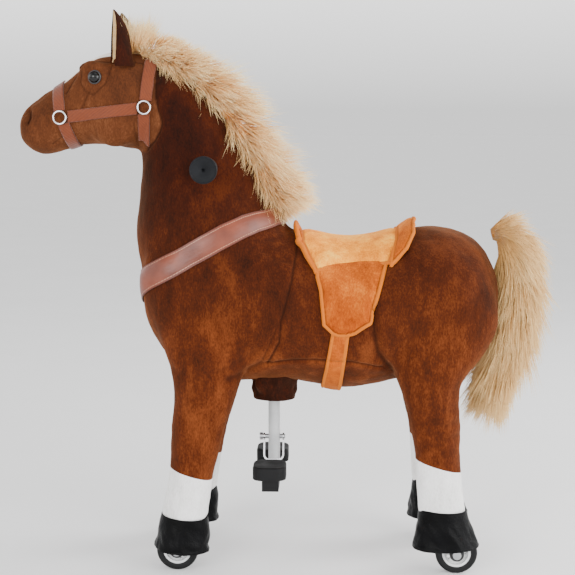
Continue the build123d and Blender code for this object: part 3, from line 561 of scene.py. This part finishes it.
bodyParts, wholeNormals = cutBody()
skins = {  # region: piece name, CAD node, body, material
    "head": ("headSkin", "head", "steering", bodyVelour), "neck": ("neckSkin", "neck", "steering", bodyVelour),
    "chest": ("chestSkin", "chest", "steering", bodyVelour), "barrel": ("barrelSkin", "barrel", None, bodyVelour),
    "rump": ("rumpSkin", "rump", "frame", bodyVelour),
}
for leg in ("foreleg", "hindleg"):
    for side in ("Left", "Right"):
        skins[leg + side] = (leg + "Skin" + side, f"{leg}_{side.lower()}", None, bodyVelour)
for sock, body in (("fore", "front_legs"), ("hind", "rear_legs")):
    for side in ("Left", "Right"):
        skins[f"{sock}Sock{side}"] = (f"{sock}Sock{side}", sock + "_socks", body, whitePlush)
for region, (name, node, body, material) in skins.items():
    skin = finishPiece(bodyParts[region], name, material, body, node)
    # shading runs on unbroken over the cuts
    skin.data.normals_split_custom_set_from_vertices(
        [wholeNormals.get(tuple(round(c, 7) for c in v.co), v.normal) for v in skin.data.vertices])
    if region == "barrel":
        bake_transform(skin)
    if region.startswith("foreleg"):
        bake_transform(skin)
    if region.startswith("hindleg"):
        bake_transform(skin)
bpy.data.objects.remove(wholeBody)
print("body cut into", len(skins), "skins")


def layOnBody(name, material, rayOf, look):  # a pad or strap that follows the skin under it
    across, down = look["steps"]
    bm = bmesh.new()
    uv = bm.loops.layers.uv.new("cloth")
    edge, paintedGrooveShade = bm.verts.layers.float.new("edge"), bm.verts.layers.float.new("paintedGrooveShade")
    grid = bmesh.ops.create_grid(bm, x_segments=across, y_segments=down, size=0.5)["verts"]
    for corner in (c for face in bm.faces for c in face.loops):
        corner[uv].uv = [(p + 0.5) * size * mm for p, size in zip(corner.vert.co, look["flat"])]
    rim = [v for v in grid if v.is_boundary and (not look.get("long") or abs(v.co.y) > 0.499)]
    outward = {}
    for v in grid:
        s, t = v.co.x + 0.5, v.co.y + 0.5
        start, aim = rayOf(s, t)
        hit, normal, face, far = skinTree.ray_cast(Vector(start) * mm, Vector(aim).normalized())
        if hit is None:
            hit, normal, face, far = skinTree.find_nearest(Vector(start) * mm)
        outward[v] = normal
        v.co = hit + normal * look["lift"](s, t) * mm
    for i in range(look.get("relax", 0)):
        soften(bm, [v for v in grid if not v.is_boundary], 0.5)
    spots, border = np.array([v.co for v in grid]), np.array([v.co for v in rim])
    distance = np.min(np.linalg.norm(spots[:, None, :] - border[None, :, :], axis=2), axis=1)
    thick = np.interp(distance * 1000, *zip(*look["profile"])) * mm
    for i, v in enumerate(grid):
        v[edge] = distance[i]
        # painted shade along the groove of the piped seam
        v[paintedGrooveShade] = 0.75 * float(np.exp(-((distance[i] * 1000 - look.get("groove", -9)) / 0.9) ** 2))
    bmesh.ops.solidify(bm, geom=bm.faces[:], thickness=0.0006)
    for i, v in enumerate(grid):
        v.co += outward[v] * thick[i]
    bmesh.ops.recalc_face_normals(bm, faces=bm.faces)
    piece = finishPiece(bm, name, material, look["body"], look.get("node"))
    return piece


def sideRay(x, z, side):  # looks straight across at the body from one side
    return (x, side * 300, z), (0, -side, 0)


def roundRay(x, angle, axisZ):  # looks in at the barrel's axis, 0 degrees from above
    return (x, 300 * sin(radians(angle)), axisZ + 300 * cos(radians(angle))), \
        (0, -sin(radians(angle)), -cos(radians(angle)))


# saddle: a light padded seat, a flap each side, a raised roll in front and a cupped rim behind; the tables
# give x by angle over the back or by height, and a profile gives thickness by distance from the edge
barrelAxis = 450
saddle = {
    "seamAngle": [(0, 60.5), (0.15, 58), (0.35, 55), (0.6, 53.5), (1, 54.5)],
    "front": [(0, 18), (30, 24), (50, 40), (60, 48)], "back": [(0, 194), (30, 190), (55, 172)],
    "flapFront": [(403, 86), (408, 76), (425, 61), (460, 58), (492, 55), (519, 49), (560, 47)],
    "flapBack": [(403, 98), (408, 116), (426, 140), (446, 146), (496, 160), (536, 170), (560, 172)],
    "flapTop": [(40, 512), (49, 520), (83, 534), (115, 540), (145, 540), (170, 537), (190, 532)],
    "flapHem": 403, "flapDrop": 145,
    "flapProfile": [(0, 0.5), (1, 3.2), (3.2, 4.6), (5.4, 3.4), (6.6, 1.6), (9, 3.4), (16, 5.0), (40, 5.6)],
    "seatProfile": [(0, 0.5), (1.5, 2.2), (3.5, 2.6), (5, 1.6), (8, 4.2), (16, 7.4), (30, 9.0), (60, 9.6)],
}


def seatRay(s, t):
    angle = (t - 0.5) * 2 * between(saddle["seamAngle"], s)[0]
    x0, x1 = between(saddle["front"], abs(angle))[0], between(saddle["back"], abs(angle))[0]
    return roundRay(x0 + (x1 - x0) * s, angle, barrelAxis)


seat = layOnBody("saddleSeat", seatVelour, seatRay, {
    "steps": (72, 96), "flat": (170, 250), "lift": lambda s, t: 3.0, "profile": saddle["seatProfile"], "groove": 5,
    "body": "frame", "node": "saddle_seat", "slot": "tan_velour", "relax": 3})

for side, label in ((-1, "Left"), (1, "Right")):
    def flapRay(s, t):
        hem, drop = saddle["flapHem"], saddle["flapDrop"]
        level = hem + drop - t * drop
        x = between(saddle["flapFront"], level)[0] * (1 - s) + between(saddle["flapBack"], level)[0] * s
        top = between(saddle["flapTop"], x)[0]
        return sideRay(x, hem + (level - hem) * (top - hem) / drop, side)

    flap = layOnBody("saddleFlap" + label, saddleVelour, flapRay, {
        "steps": (64, 76), "flat": (118, 135), "lift": lambda s, t: 1.2 + 1.6 * t, "groove": 6.6, "relax": 4,
        "profile": saddle["flapProfile"], "body": "frame", "node": "saddle_flap_" + label.lower(),
        "slot": "tan_velour"})


def rollAlong(name, material, path, look):  # a stuffed roll drawn through points, with its ends closed
    bm = bmesh.new()
    places = []
    for i, (x, y, z, wide, tall) in enumerate(path):
        ahead, behind = path[min(i + 1, len(path) - 1)], path[max(i - 1, 0)]
        along = (Vector(ahead[:3]) - Vector(behind[:3])).normalized()
        up = Vector((0, y, z - look["axisZ"])).normalized()
        sideways = along.cross(up).normalized()
        up = sideways.cross(along)
        up = (up + sideways * look["lean"]).normalized()
        sideways = along.cross(up).normalized()
        places.append(ringPlace((x, y, z), sideways * wide, up * tall))
    bridgeRings(bm, places, look["segments"])
    bmesh.ops.recalc_face_normals(bm, faces=bm.faces)
    piece = finishPiece(bm, name, material, look["body"], look.get("node"))
    return piece


def aroundBack(table, reach, count):  # path points over the back from side to side, resting on the skin
    path = []
    for i in range(count + 1):
        angle = reach * (2 * i / count - 1)
        x, raised, wide, tall = between(table, abs(angle))
        start, aim = roundRay(x, angle, barrelAxis)
        hit, normal, face, far = skinTree.ray_cast(Vector(start) * mm, Vector(aim).normalized())
        spot = (hit + normal * raised * mm) / mm
        path.append((*spot, wide, tall))
    return path


# angle over the back, then x, height over the skin, half width and half height, in mm
pommelTable = [(0, 12, 8.5, 4.6, 9.5), (14, 13, 8.0, 4.6, 9.0), (30, 20, 6.0, 4.4, 7.0), (45, 33, 5.0, 4.0, 5.5),
               (57, 47, 4.0, 3.4, 4.2), (62, 50, 2.5, 2.6, 3.0)]
pommel = rollAlong("saddlePommel", saddleVelour, aroundBack(pommelTable, 61, 60), {
    "axisZ": barrelAxis, "lean": -0.25, "segments": 16, "body": "frame", "node": "saddle_pommel",
    "slot": "tan_velour"})


# cupped rim: a padded leaf that stands up from the seat's back edge and flares over the rump
cantleLook = {"reach": 57, "front": [(0, 185), (30, 181), (57, 171)],
              "back": [(0, 220), (30, 216), (45, 203), (57, 175)],
              "flare": [(0, 15), (25, 15), (40, 12), (50, 7), (57, 2.5)]}


def cantleRay(s, t):
    angle = (t - 0.5) * 2 * cantleLook["reach"]
    x0, x1 = between(cantleLook["front"], abs(angle))[0], between(cantleLook["back"], abs(angle))[0]
    return roundRay(x0 + (x1 - x0) * s, angle, barrelAxis)


def cantleLift(s, t):
    return 5.0 * (1 - s) + between(cantleLook["flare"], abs(t - 0.5) * 2 * cantleLook["reach"])[0] * s ** 1.2


cantle = layOnBody("saddleCantle", saddleVelour, cantleRay, {
    "steps": (26, 100), "flat": (30, 260), "lift": cantleLift, "groove": 5.6,
    "profile": [(0, 0.6), (1, 3.4), (3, 4.8), (5, 3.4), (5.8, 2.2), (8, 5.0), (14, 6.0)],
    "body": "frame", "node": "saddle_cantle", "slot": "tan_velour"})


def girthRay(s, t):  # s runs under the belly from left to right
    angle = 180 + (s - 0.5) * 2 * 98
    start, aim = roundRay(0, angle, 418)
    hit, normal, face, far = skinTree.ray_cast(Vector((82 * mm, start[1] * mm, start[2] * mm)), Vector(aim))
    drop = 404 - hit.z / mm if hit else 0
    return (90 - drop * 0.146 + (t - 0.5) * (30 + 3 * min(max(drop, 0) / 80, 1)), start[1], start[2]), aim


girth = layOnBody("girthStrap", girthVelour, girthRay, {
    "steps": (150, 18), "flat": (386, 31), "long": True, "groove": 4.6, "body": "frame", "node": "girth_strap",
    "lift": lambda s, t: 1.0 + 3.4 * sin(pi * s) ** 6, "slot": "tan_velour",
    "profile": [(0, 0.6), (0.8, 2.2), (2.2, 2.8), (3.8, 2.2), (4.6, 1.4), (6.4, 2.2), (12, 2.6)]})


# breast collar: angle from straight ahead, top edge height, bottom edge height
collarTable = [(0, 490, 440), (18, 498, 447), (32, 511, 463), (53, 534, 487), (78, 560, 516), (103, 583, 541),
               (126, 598, 561), (139, 602, 570), (160, 606, 578), (180, 607, 580)]


def collarRay(s, t):
    angle = (s - 0.5) * 2 * 178
    top, bottom = between(collarTable, abs(angle))
    z = bottom + (top - bottom) * t
    a = radians(angle)
    return (-128 - 300 * cos(a), 300 * sin(a), z), (cos(a), -sin(a), 0)


collar = layOnBody("breastCollar", collarLeather, collarRay, {
    "steps": (220, 22), "flat": (800, 47), "long": True, "body": "steering", "node": "breast_collar",
    "lift": lambda s, t: 1.6, "slot": "brown_leather", "relax": 4,
    "profile": [(0, 0.4), (0.6, 1.8), (1.6, 2.4), (3.4, 2.2), (4.2, 1.6), (5.4, 2.4), (12, 3.4), (25, 3.8)]})
print("saddle and collar laid on")


# halter: straps of one tape between four rings
tapeWide = 19.5


def strapRay(centre, upward, s, t, low, high):  # looks in at a point inside the head, between two angles
    up = Vector((upward[0], 0, upward[1])).normalized()
    across = Vector((-up.z, 0, up.x))
    a = radians(low + (high - low) * s)
    aim = up * cos(a) + Vector((0, 1, 0)) * sin(a)
    return Vector((centre[0], 0, centre[1])) + across * (t - 0.5) * tapeWide + aim * 150, -aim


strapLook = {"body": "steering", "slot": "halter_webbing", "long": True, "relax": 1,
             "lift": lambda s, t: 0.9, "profile": [(0, 1.2), (0.8, 1.5), (4, 1.6)]}
strapRuns = {  # centre x, z; direction of its middle; angles that it runs between; node; length
    "noseband": ((-375.5, 757), (-6, 42), -76, 76, "noseband", 136),
    "chinStrap": ((-374, 757), (15, -46), -76, 76, "chin_strap", 124),
    "crownStrap": ((-233.5, 773.5), (8, 76), -78.5, 78.5, "crown_strap", 206),
    "throatStrapLeft": ((-235, 773.5), (-2, -60), 34, 78.5, "throat_strap", 58),
    "throatStrapRight": ((-235, 773.5), (-2, -60), -78.5, -34, "throat_strap", 58),
}
for name, (centre, upward, low, high, node, length) in strapRuns.items():
    strap = layOnBody(name, halterTape, lambda s, t: strapRay(centre, upward, s, t, low, high),
                      {**strapLook, "steps": (96, 8), "flat": (length, tapeWide), "node": node})
for side, label in ((-1, "Left"), (1, "Right")):
    def cheekRay(s, t):
        return sideRay(-363 + 117 * s, 758.5 + 13.5 * s + (t - 0.5) * tapeWide, side)

    strap = layOnBody("cheekStrap" + label, halterTape, cheekRay,
                      {**strapLook, "steps": (60, 8), "flat": (118, tapeWide), "node": "cheek_straps"})


# eye: a ball sunk in the skin and a fine ring round it; radii of the ball, the ring and its wire
eyeLook = {"centre": (-316, 51, 823), "looks": (-0.28, 1, 0.1), "ball": 10.2, "ring": 10.4, "wire": 1.6}
for side, label in ((-1, "Left"), (1, "Right")):
    (x, y, z), (ahead, aside, up) = eyeLook["centre"], eyeLook["looks"]
    hit, normal, face, far = skinTree.ray_cast(Vector((x, side * 200, z)) * mm, Vector((0, -side, 0)))
    aim = Vector((ahead, side * aside, up)).normalized()
    socket = Matrix.Translation(hit + aim * 0.5 * mm) @ aim.to_track_quat("Z", "Y").to_matrix().to_4x4()
    bm = bmesh.new()
    bmesh.ops.create_uvsphere(bm, u_segments=32, v_segments=20, radius=eyeLook["ball"] * mm, matrix=socket)
    ball = finishPiece(bm, "eyeBall" + label, eyeGloss, "steering", "eyes")
    bm = bmesh.new()
    section = Matrix.Translation((eyeLook["ring"] * mm, 0, 1.2 * mm)) @ Matrix.Rotation(pi / 2, 4, "X")
    bmesh.ops.create_circle(bm, segments=12, radius=eyeLook["wire"] * mm, matrix=socket @ section)
    bmesh.ops.spin(bm, geom=bm.edges[:], cent=socket.translation, axis=aim, angle=2 * pi, steps=40,
                   use_merge=True)
    bmesh.ops.remove_doubles(bm, verts=bm.verts, dist=1e-6)
    bmesh.ops.recalc_face_normals(bm, faces=bm.faces)
    rim = finishPiece(bm, "eyeRim" + label, eyeRimGrey, "steering")

# ear: a leaf curled round its opening; part of its height, curl radius, depth as a share of it
earLook = {"rows": [(0.0, 15, 1.85), (0.15, 14.5, 1.7), (0.35, 14.8, 1.6), (0.55, 14.5, 1.55), (0.72, 12.5, 1.5),
                    (0.87, 8.5, 1.35), (0.96, 4.4, 1.1), (1.0, 1.4, 0.9)],
           "foot": (-276, 46, 842), "tip": (-285, 43, 934), "turn": 26, "curl": 116}
for side, label in ((-1, "Left"), (1, "Right")):
    foot, tip = (Vector((p[0], side * p[1], p[2])) for p in (earLook["foot"], earLook["tip"]))
    opening = Vector((-cos(radians(earLook["turn"])), side * sin(radians(earLook["turn"])), 0))
    sideways = opening.cross(Vector((0, 0, 1)))
    for layer, material, share, inset, thick in (("ear", bodyVelour, 1.0, 0.0, 1.8),
                                                 ("earLining", creamPlush, 0.95, 2.0, 0.8)):
        bm = bmesh.new()
        leaf = bmesh.ops.create_grid(bm, x_segments=28, y_segments=36, size=0.5)["verts"]
        for v in leaf:
            u, height = v.co.x * 2 * share, (v.co.y + 0.5) * (0.5 + share / 2)
            radius, depth = between(earLook["rows"], height)
            radius = max(radius - inset, 0.3)
            curl = radians(earLook["curl"] * (1 - 0.25 * height)) * u
            v.co = (foot.lerp(tip, height) + (sideways * sin(curl) - opening * cos(curl) * depth) * radius) * mm
        bmesh.ops.solidify(bm, geom=bm.faces[:], thickness=thick * mm)
        bmesh.ops.recalc_face_normals(bm, faces=bm.faces)
        ear = finishPiece(bm, layer + label, material, "steering", "ears" if layer == "ear" else None)
        rounded = ear.modifiers.new("softer", "SUBSURF")
        rounded.levels = rounded.render_levels = 1
        settle(ear)

# grip: a sleeve with a flange and a dished end, turned on the bar's axis; distance out, radius
gripLook = {"outline": [(84, 11.2), (84, 16), (86, 17), (90, 17), (140, 17), (148, 17.4), (149.5, 21),
                        (150.5, 22), (157, 22), (158, 21.2), (158, 20.4), (157, 19.6), (156.4, 18.6),
                        (156.4, 3.2), (152, 2.4), (151, 0.1)],
            "bar": (-128, 0, 675)}
for side, label in ((-1, "Left"), (1, "Right")):
    bm = bmesh.new()
    bar = Vector(gripLook["bar"])
    outline = [bm.verts.new((bar + Vector((0, side * out, radius))) * mm) for out, radius in gripLook["outline"]]
    for pair in zip(outline, outline[1:]):
        bm.edges.new(pair)
    bmesh.ops.spin(bm, geom=bm.verts[:] + bm.edges[:], cent=bar * mm, axis=(0, 1, 0), angle=2 * pi, steps=48,
                   use_merge=True)
    bmesh.ops.remove_doubles(bm, verts=bm.verts, dist=1e-6)
    bmesh.ops.recalc_face_normals(bm, faces=bm.faces)
    grip = finishPiece(bm, "grip" + label, gripRubber, "steering", "grips")


def skirt(name, material, rows, look):  # an open sleeve of cloth through level ovals, creased and thickened
    bm = bmesh.new()
    edge = bm.verts.layers.float.new("edge")
    places = [ringPlace(((f + b) / 2, look["y"], z), ((b - f) / 2, 0, tilt * (b - f) / 2), (0, half, 0))
              for z, f, b, half, tilt in evenRows(rows, 6)]
    bridgeRings(bm, places, look["segments"], capped=False)
    for i in range(2):
        soften(bm, [v for v in bm.verts if not v.is_boundary], 0.3)
    bm.normal_update()
    middle = Vector((sum(r[1] + r[2] for r in rows) / len(rows) / 2, look["y"], 0)) * mm
    low, high = min(v.co.z for v in bm.verts), max(v.co.z for v in bm.verts)
    for v in bm.verts:
        t = (v.co.z - low) / (high - low)
        away = Vector((v.co.x - middle.x, v.co.y - middle.y, 0)).normalized()
        v.co += away * look["crease"](v.co, t, away) * mm
        v[edge] = v.co.z - low
    bmesh.ops.recalc_face_normals(bm, faces=bm.faces)
    bmesh.ops.solidify(bm, geom=bm.faces[:], thickness=look["thick"] * mm)
    bmesh.ops.recalc_face_normals(bm, faces=bm.faces)
    piece = finishPiece(bm, name, material, look["body"], look["node"])
    finer = piece.modifiers.new("finer", "SUBSURF")
    finer.levels = finer.render_levels = 1
    settle(piece)
    return piece


# hoof covers: height, front, back, half width, tilt of the rim towards the back; creases grow towards the ground
hoofLook = {
    "fore": {"rows": [(94, -209, -131, 37, -0.10), (80, -213, -129, 38.5, -0.09), (60, -219, -129, 41.5, -0.09),
                      (44, -222, -130, 44, -0.08), (37, -222.5, -129, 44.5, -0.08)],
             "y": 90, "body": "front_legs", "node": "fore_hoof_covers", "flat": (0.30, 0.062)},
    "hind": {"rows": [(111, 223, 303, 37, -0.04), (96, 221, 306, 39, -0.02), (74, 218, 313, 42, 0.0),
                      (54, 215, 321, 45, 0.03), (46, 214, 323, 46, 0.04)],
             "y": 92, "body": "rear_legs", "node": "hind_hoof_covers", "flat": (0.30, 0.068)},
}
for kind, look in hoofLook.items():
    for side, label in ((-1, "Left"), (1, "Right")):
        def creased(spot, t, away):
            shift = 3 if kind == "fore" else 9
            wave = noise.noise(Vector((spot.x * 26 + side, spot.y * 26, spot.z * 34 + shift)))
            fold = noise.noise(Vector((spot.x * 60 + spot.z * 42, spot.y * 60, spot.z * 22 + side)))
            hem = 0.9 if t < 0.10 else 0.0
            return (wave * 5.0 + abs(fold) * 5.0 - 1.5) * sin(pi * min(t + 0.18, 1)) * 0.9 + hem

        cover = skirt(f"{kind}HoofCover{label}", hoofLeather, look["rows"], {
            "y": side * look["y"], "segments": 72, "crease": creased, "thick": 1.6, "body": look["body"],
            "node": look["node"], "slot": "black_leather"})


# cuff round the footrest post: gathered at the body, hemmed below
def gathered(spot, t, away):  # how far a fold stands out there
    fold = noise.noise(Vector((away.x * 2.6 + spot.z * 30, away.y * 2.6, spot.z * 44)))
    swag = noise.noise(Vector((away.x * 1.4, away.y * 1.4 + 5, spot.z * 26 - away.x)))
    return (fold * 8 + swag * 8) * min(t * 2.2, 1) * min((1.15 - t) * 3, 1) + (0.8 if t < 0.12 else 0)


cuff = skirt("footrestCuff", cuffVelour,
             [(330, -68, 26, 42, 0.05), (318, -64, 21, 40, 0.04), (300, -60, 15, 36, 0.0),
              (284, -57, 11, 34, -0.01), (277, -56, 10.5, 33.5, -0.01)],
             {"y": 0, "segments": 96, "crease": gathered, "thick": 1.8, "body": "steering", "node": "footrest_sleeve",
              "slot": "dark_velour"})
print("small pieces made")


def growHair(name, material, roots, look):  # roots: place, first direction, bend, length, thickness, tone
    bm = bmesh.new()
    shape = [(0, 1.0), (0.33, 0.85), (0.68, 0.5), (1.0, 0.05)]
    bridgeRings(bm, [Matrix.Translation((0, 0, t)) @ Matrix.Diagonal((w, w, 1, 1)) for t, w in shape], 3)
    bmesh.ops.recalc_face_normals(bm, faces=bm.faces)
    hair = finishPiece(bm, name, material)
    per = len(hair.data.vertices)
    copies = hair.modifiers.new("copies", "ARRAY")
    copies.count = len(roots)
    settle(hair)
    spots = np.empty(len(hair.data.vertices) * 3)
    hair.data.vertices.foreach_get("co", spots)
    one = spots.reshape(-1, 3)[:per]
    place, first, bend, length, thick, tone = (np.array(column) for column in zip(*roots))
    length, thick = length[:, None, None], thick[:, None, None]
    t = one[:, 2][None, :, None]
    line = place[:, None, :] + length * (first[:, None, :] * t + bend[:, None, :] * t * t)
    along = first[:, None, :] + 2 * bend[:, None, :] * t
    along /= np.linalg.norm(along, axis=2, keepdims=True)
    helper = np.where(np.abs(first[:, 1:2]) > 0.8, [[1.0, 0, 0]], [[0, 1.0, 0]])[:, None, :]
    sideways = np.cross(along, helper)
    sideways /= np.linalg.norm(sideways, axis=2, keepdims=True)
    up = np.cross(sideways, along)
    made = line + thick * (sideways * one[:, 0][None, :, None] + up * one[:, 1][None, :, None] * 0.55)
    hair.data.vertices.foreach_set("co", (made * mm).ravel())
    for label, values in (("along", np.repeat(one[None, :, 2], len(roots), 0)),
                          ("tone", np.repeat(tone[:, None], per, 1))):
        layer = hair.data.attributes.new(label, "FLOAT", "POINT")
        layer.data.foreach_set("value", values.ravel().astype(np.float32))
    hair.data.update()
    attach(hair, look["body"])
    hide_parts(look["node"])


def hairBase(name, material, places, body):  # the pile's backing, seen only deep between the locks
    bm = bmesh.new()
    bridgeRings(bm, places, 24)
    bmesh.ops.recalc_face_normals(bm, faces=bm.faces)
    base = finishPiece(bm, name, material, body)


rng = random.Random(7)


def locks(count, perLock, rootOf, look):  # hairs in locks: near neighbours whose tips draw together
    roots = []
    for i in range(count):
        a, b = rng.random(), rng.random() * 2 - 1
        place, outwards, flow, length = rootOf(a, b)
        pull = Vector((rng.gauss(0, 1), rng.gauss(0, 1), rng.gauss(0, 1))) * look["wander"]
        lockTone = rng.random()
        grow = length * rng.uniform(0.8, 1.2)
        for k in range(perLock):
            a2 = min(max(a + rng.gauss(0, look["spreadA"]), 0), 1)
            b2 = min(max(b + rng.gauss(0, look["spreadB"]), -1), 1)
            spot, out2, flow2, length2 = rootOf(a2, b2)
            first = (out2 * look["stand"] + flow2 * look["lie"]
                     + Vector((rng.gauss(0, 1), rng.gauss(0, 1), rng.gauss(0, 1))) * look["stray"]).normalized()
            gather = (place - spot) * (look["clump"] / length)
            bend = flow * look["sweep"] + pull + gather + Vector((0, 0, -look["weight"]))
            size = grow * rng.uniform(0.78, 1.12)
            roots.append((list(spot), list(first), list(bend), size, look["thick"] * rng.uniform(0.7, 1.25),
                          0.6 * lockTone + 0.4 * rng.random()))
    return roots


# line of the mane from poll to withers, x and z
crest = [(-236, 850), (-226, 856), (-206, 848), (-180, 832), (-152, 812), (-120, 782), (-92, 742), (-60, 688),
         (-36, 642), (-14, 606), (-2, 592)]
crestCurve = evenRows([list(p) for p in crest], 6)


def crestAt(a):  # place, direction and outward direction on the crest
    place = a * (len(crestCurve) - 1)
    i = min(int(place), len(crestCurve) - 2)
    p, q = Vector(crestCurve[i]), Vector(crestCurve[i + 1])
    spot, along = p.lerp(q, place - i), (q - p).normalized()
    return Vector((spot.x, 0, spot.y)), Vector((along.x, 0, along.y)), Vector((-along.y, 0, along.x))


def maneRoot(a, b):  # a runs down the crest, b from one side of it to the other
    spot, along, out = crestAt(a)
    angle = b * radians(108)
    swell = 17 if a > 0.06 else 12
    outwards = out * cos(angle) + Vector((0, 1, 0)) * sin(angle)
    length = np.interp(a, [0, 0.08, 0.3, 0.6, 0.85, 1], [26, 29, 42, 58, 56, 20]) * (1 - 0.25 * abs(b) ** 2)
    return spot + out * 3 + outwards * swell * 1.07, outwards, along, length


manePlaces = []
for i in range(41):
    spot, along, out = crestAt(i / 40)
    manePlaces.append(ringPlace(spot + out * 1, out * 15, Vector((0, 17, 0))))
hairBase("maneBacking", maneHair, manePlaces, "steering")
growHair("mane", maneHair, locks(520, 17, maneRoot, {
    "wander": 0.15, "spreadA": 0.016, "spreadB": 0.12, "stand": 0.92, "lie": 0.36, "stray": 0.13, "clump": 0.4,
    "sweep": 0.16, "weight": 0.14, "thick": 0.62}), {"body": "steering", "node": "mane"})


def forelockRoot(a, b):  # a round tuft between the ears
    angle = b * pi
    spot = Vector((-258 + 13 * a * cos(angle), 13 * a * sin(angle), 862 - 4 * a))
    outwards = Vector((cos(angle) * 0.5 + 0.1, sin(angle) * 0.6, 0.9)).normalized()
    return spot, outwards, Vector((0.35, 0, 0.5)), 58


growHair("forelock", maneHair, locks(90, 16, forelockRoot, {
    "wander": 0.10, "spreadA": 0.25, "spreadB": 0.12, "stand": 0.9, "lie": 0.3, "stray": 0.10, "clump": 0.3,
    "sweep": 0.12, "weight": 0.05, "thick": 0.6}), {"body": "steering", "node": "forelock"})

# dock of the tail: centre x, z, half depth, half width
dock = [(346, 560, 10, 10), (362, 562, 18, 20), (376, 548, 22, 25), (385, 520, 26, 28), (389, 480, 27, 29),
        (386, 440, 26, 28), (382, 400, 25, 26), (371, 364, 23, 24), (362, 332, 19, 20), (355, 304, 14, 15),
        (351, 290, 7, 8)]
dockCurve = evenRows([list(p) for p in dock], 5)


def dockAt(a):  # place, direction, outward direction and the two half widths
    place = a * (len(dockCurve) - 1)
    i = min(int(place), len(dockCurve) - 2)
    row = [p + (q - p) * (place - i) for p, q in zip(dockCurve[i], dockCurve[i + 1])]
    along = Vector((dockCurve[i + 1][0] - dockCurve[i][0], 0, dockCurve[i + 1][1] - dockCurve[i][1])).normalized()
    return Vector((row[0], 0, row[1])), along, Vector((-along.z, 0, along.x)) * -1, row[2], row[3]


def tailRoot(a, b):  # a runs down the dock, b round it
    spot, along, out, deep, wide = dockAt(a)
    angle = b * pi
    outwards = out * cos(angle) + Vector((0, 1, 0)) * sin(angle)
    length = np.interp(a, [0, 0.2, 0.5, 0.85, 1], [44, 56, 60, 54, 44])
    place = spot + (out * cos(angle) * deep + Vector((0, 1, 0)) * sin(angle) * wide) * 0.9
    return place, outwards, along, length


tailPlaces = []
for i in range(41):
    spot, along, out, deep, wide = dockAt(i / 40)
    tailPlaces.append(ringPlace(spot, out * deep * 0.9, Vector((0, wide * 0.9, 0))))
hairBase("tailBacking", tailHair, tailPlaces, "frame")
growHair("tail", tailHair, locks(560, 17, tailRoot, {
    "wander": 0.10, "spreadA": 0.02, "spreadB": 0.07, "stand": 0.42, "lie": 0.85, "stray": 0.09, "clump": 0.35,
    "sweep": 0.12, "weight": 0.20, "thick": 0.72}), {"body": "frame", "node": "tail"})
print("hair grown")


lamps = {  # place, size and power
    "keyLight": ((-1.5, -3.0, 1.5), 1.8, 72), "fillLight": ((2.6, -1.6, 1.1), 2.0, 84),
    "topLight": ((0.4, -0.6, 3.2), 1.8, 10), "backLight": ((2.3, 0.9, 1.7), 1.4, 55),
}
cameraLook = {"place": (0.0803, -2.2986, 0.770), "down": 7.477, "turn": 2.0, "lens": 84.87}


def studio():  # paper floor, soft lamps, pale air and the camera
    bm = bmesh.new()
    bmesh.ops.create_grid(bm, x_segments=1, y_segments=1, size=40.0)
    floorCloth, tree, shader, place = startMaterial("paper_floor_matt_white", Roughness=0.9, Specular_IOR_Level=0.1)
    fibre = addNode(tree, "TexNoise", {"Vector": place, "Scale": 3.0, "Detail": 2.0}).outputs[0]
    tone = addNode(tree, "ValToRGB", {"Fac": fibre}, stops=[(0.0, "#f4f4f4"), (1.0, "#fafafa")]).outputs[0]
    tree.links.new(tone, shader.inputs["Base Color"])
    floor = finishPiece(bm, "floor", floorCloth)
    for name, (place, size, power) in lamps.items():
        lamp = bpy.data.lights.new(name, "AREA")
        lamp.energy, lamp.size = power, size
        holder = bpy.data.objects.new(name, lamp)
        bpy.context.scene.collection.objects.link(holder)
        holder.location = place
        holder.rotation_euler = (Vector((0, 0, 0.5)) - Vector(place)).to_track_quat("-Z", "Y").to_euler()
    world = bpy.data.worlds.new("studioAir")
    bpy.context.scene.world = world
    world.use_nodes = True
    air = world.node_tree  # as the floor at the horizon, palest just above it, dimmer overhead
    place = addNode(air, "TexCoord").outputs["Generated"]
    height = addNode(air, "SeparateXYZ", {"Vector": place}).outputs["Z"]
    shade = addNode(air, "ValToRGB", {"Fac": height},
                    stops=[(0.0, "#b2b2b2"), (0.14, "#ffffff"), (0.3, "#f4f4f4"), (0.8, "#8b8b8b")]).outputs[0]
    air.links.new(shade, air.nodes["Background"].inputs[0])
    air.nodes["Background"].inputs[1].default_value = 2.5
    lens = bpy.data.cameras.new("camera")
    lens.lens = cameraLook["lens"]
    camera = bpy.data.objects.new("camera", lens)
    bpy.context.scene.collection.objects.link(camera)
    camera.location = cameraLook["place"]
    camera.rotation_euler = (radians(90 - cameraLook["down"]), 0, radians(cameraLook["turn"]))
    bpy.context.scene.camera = camera


studio()
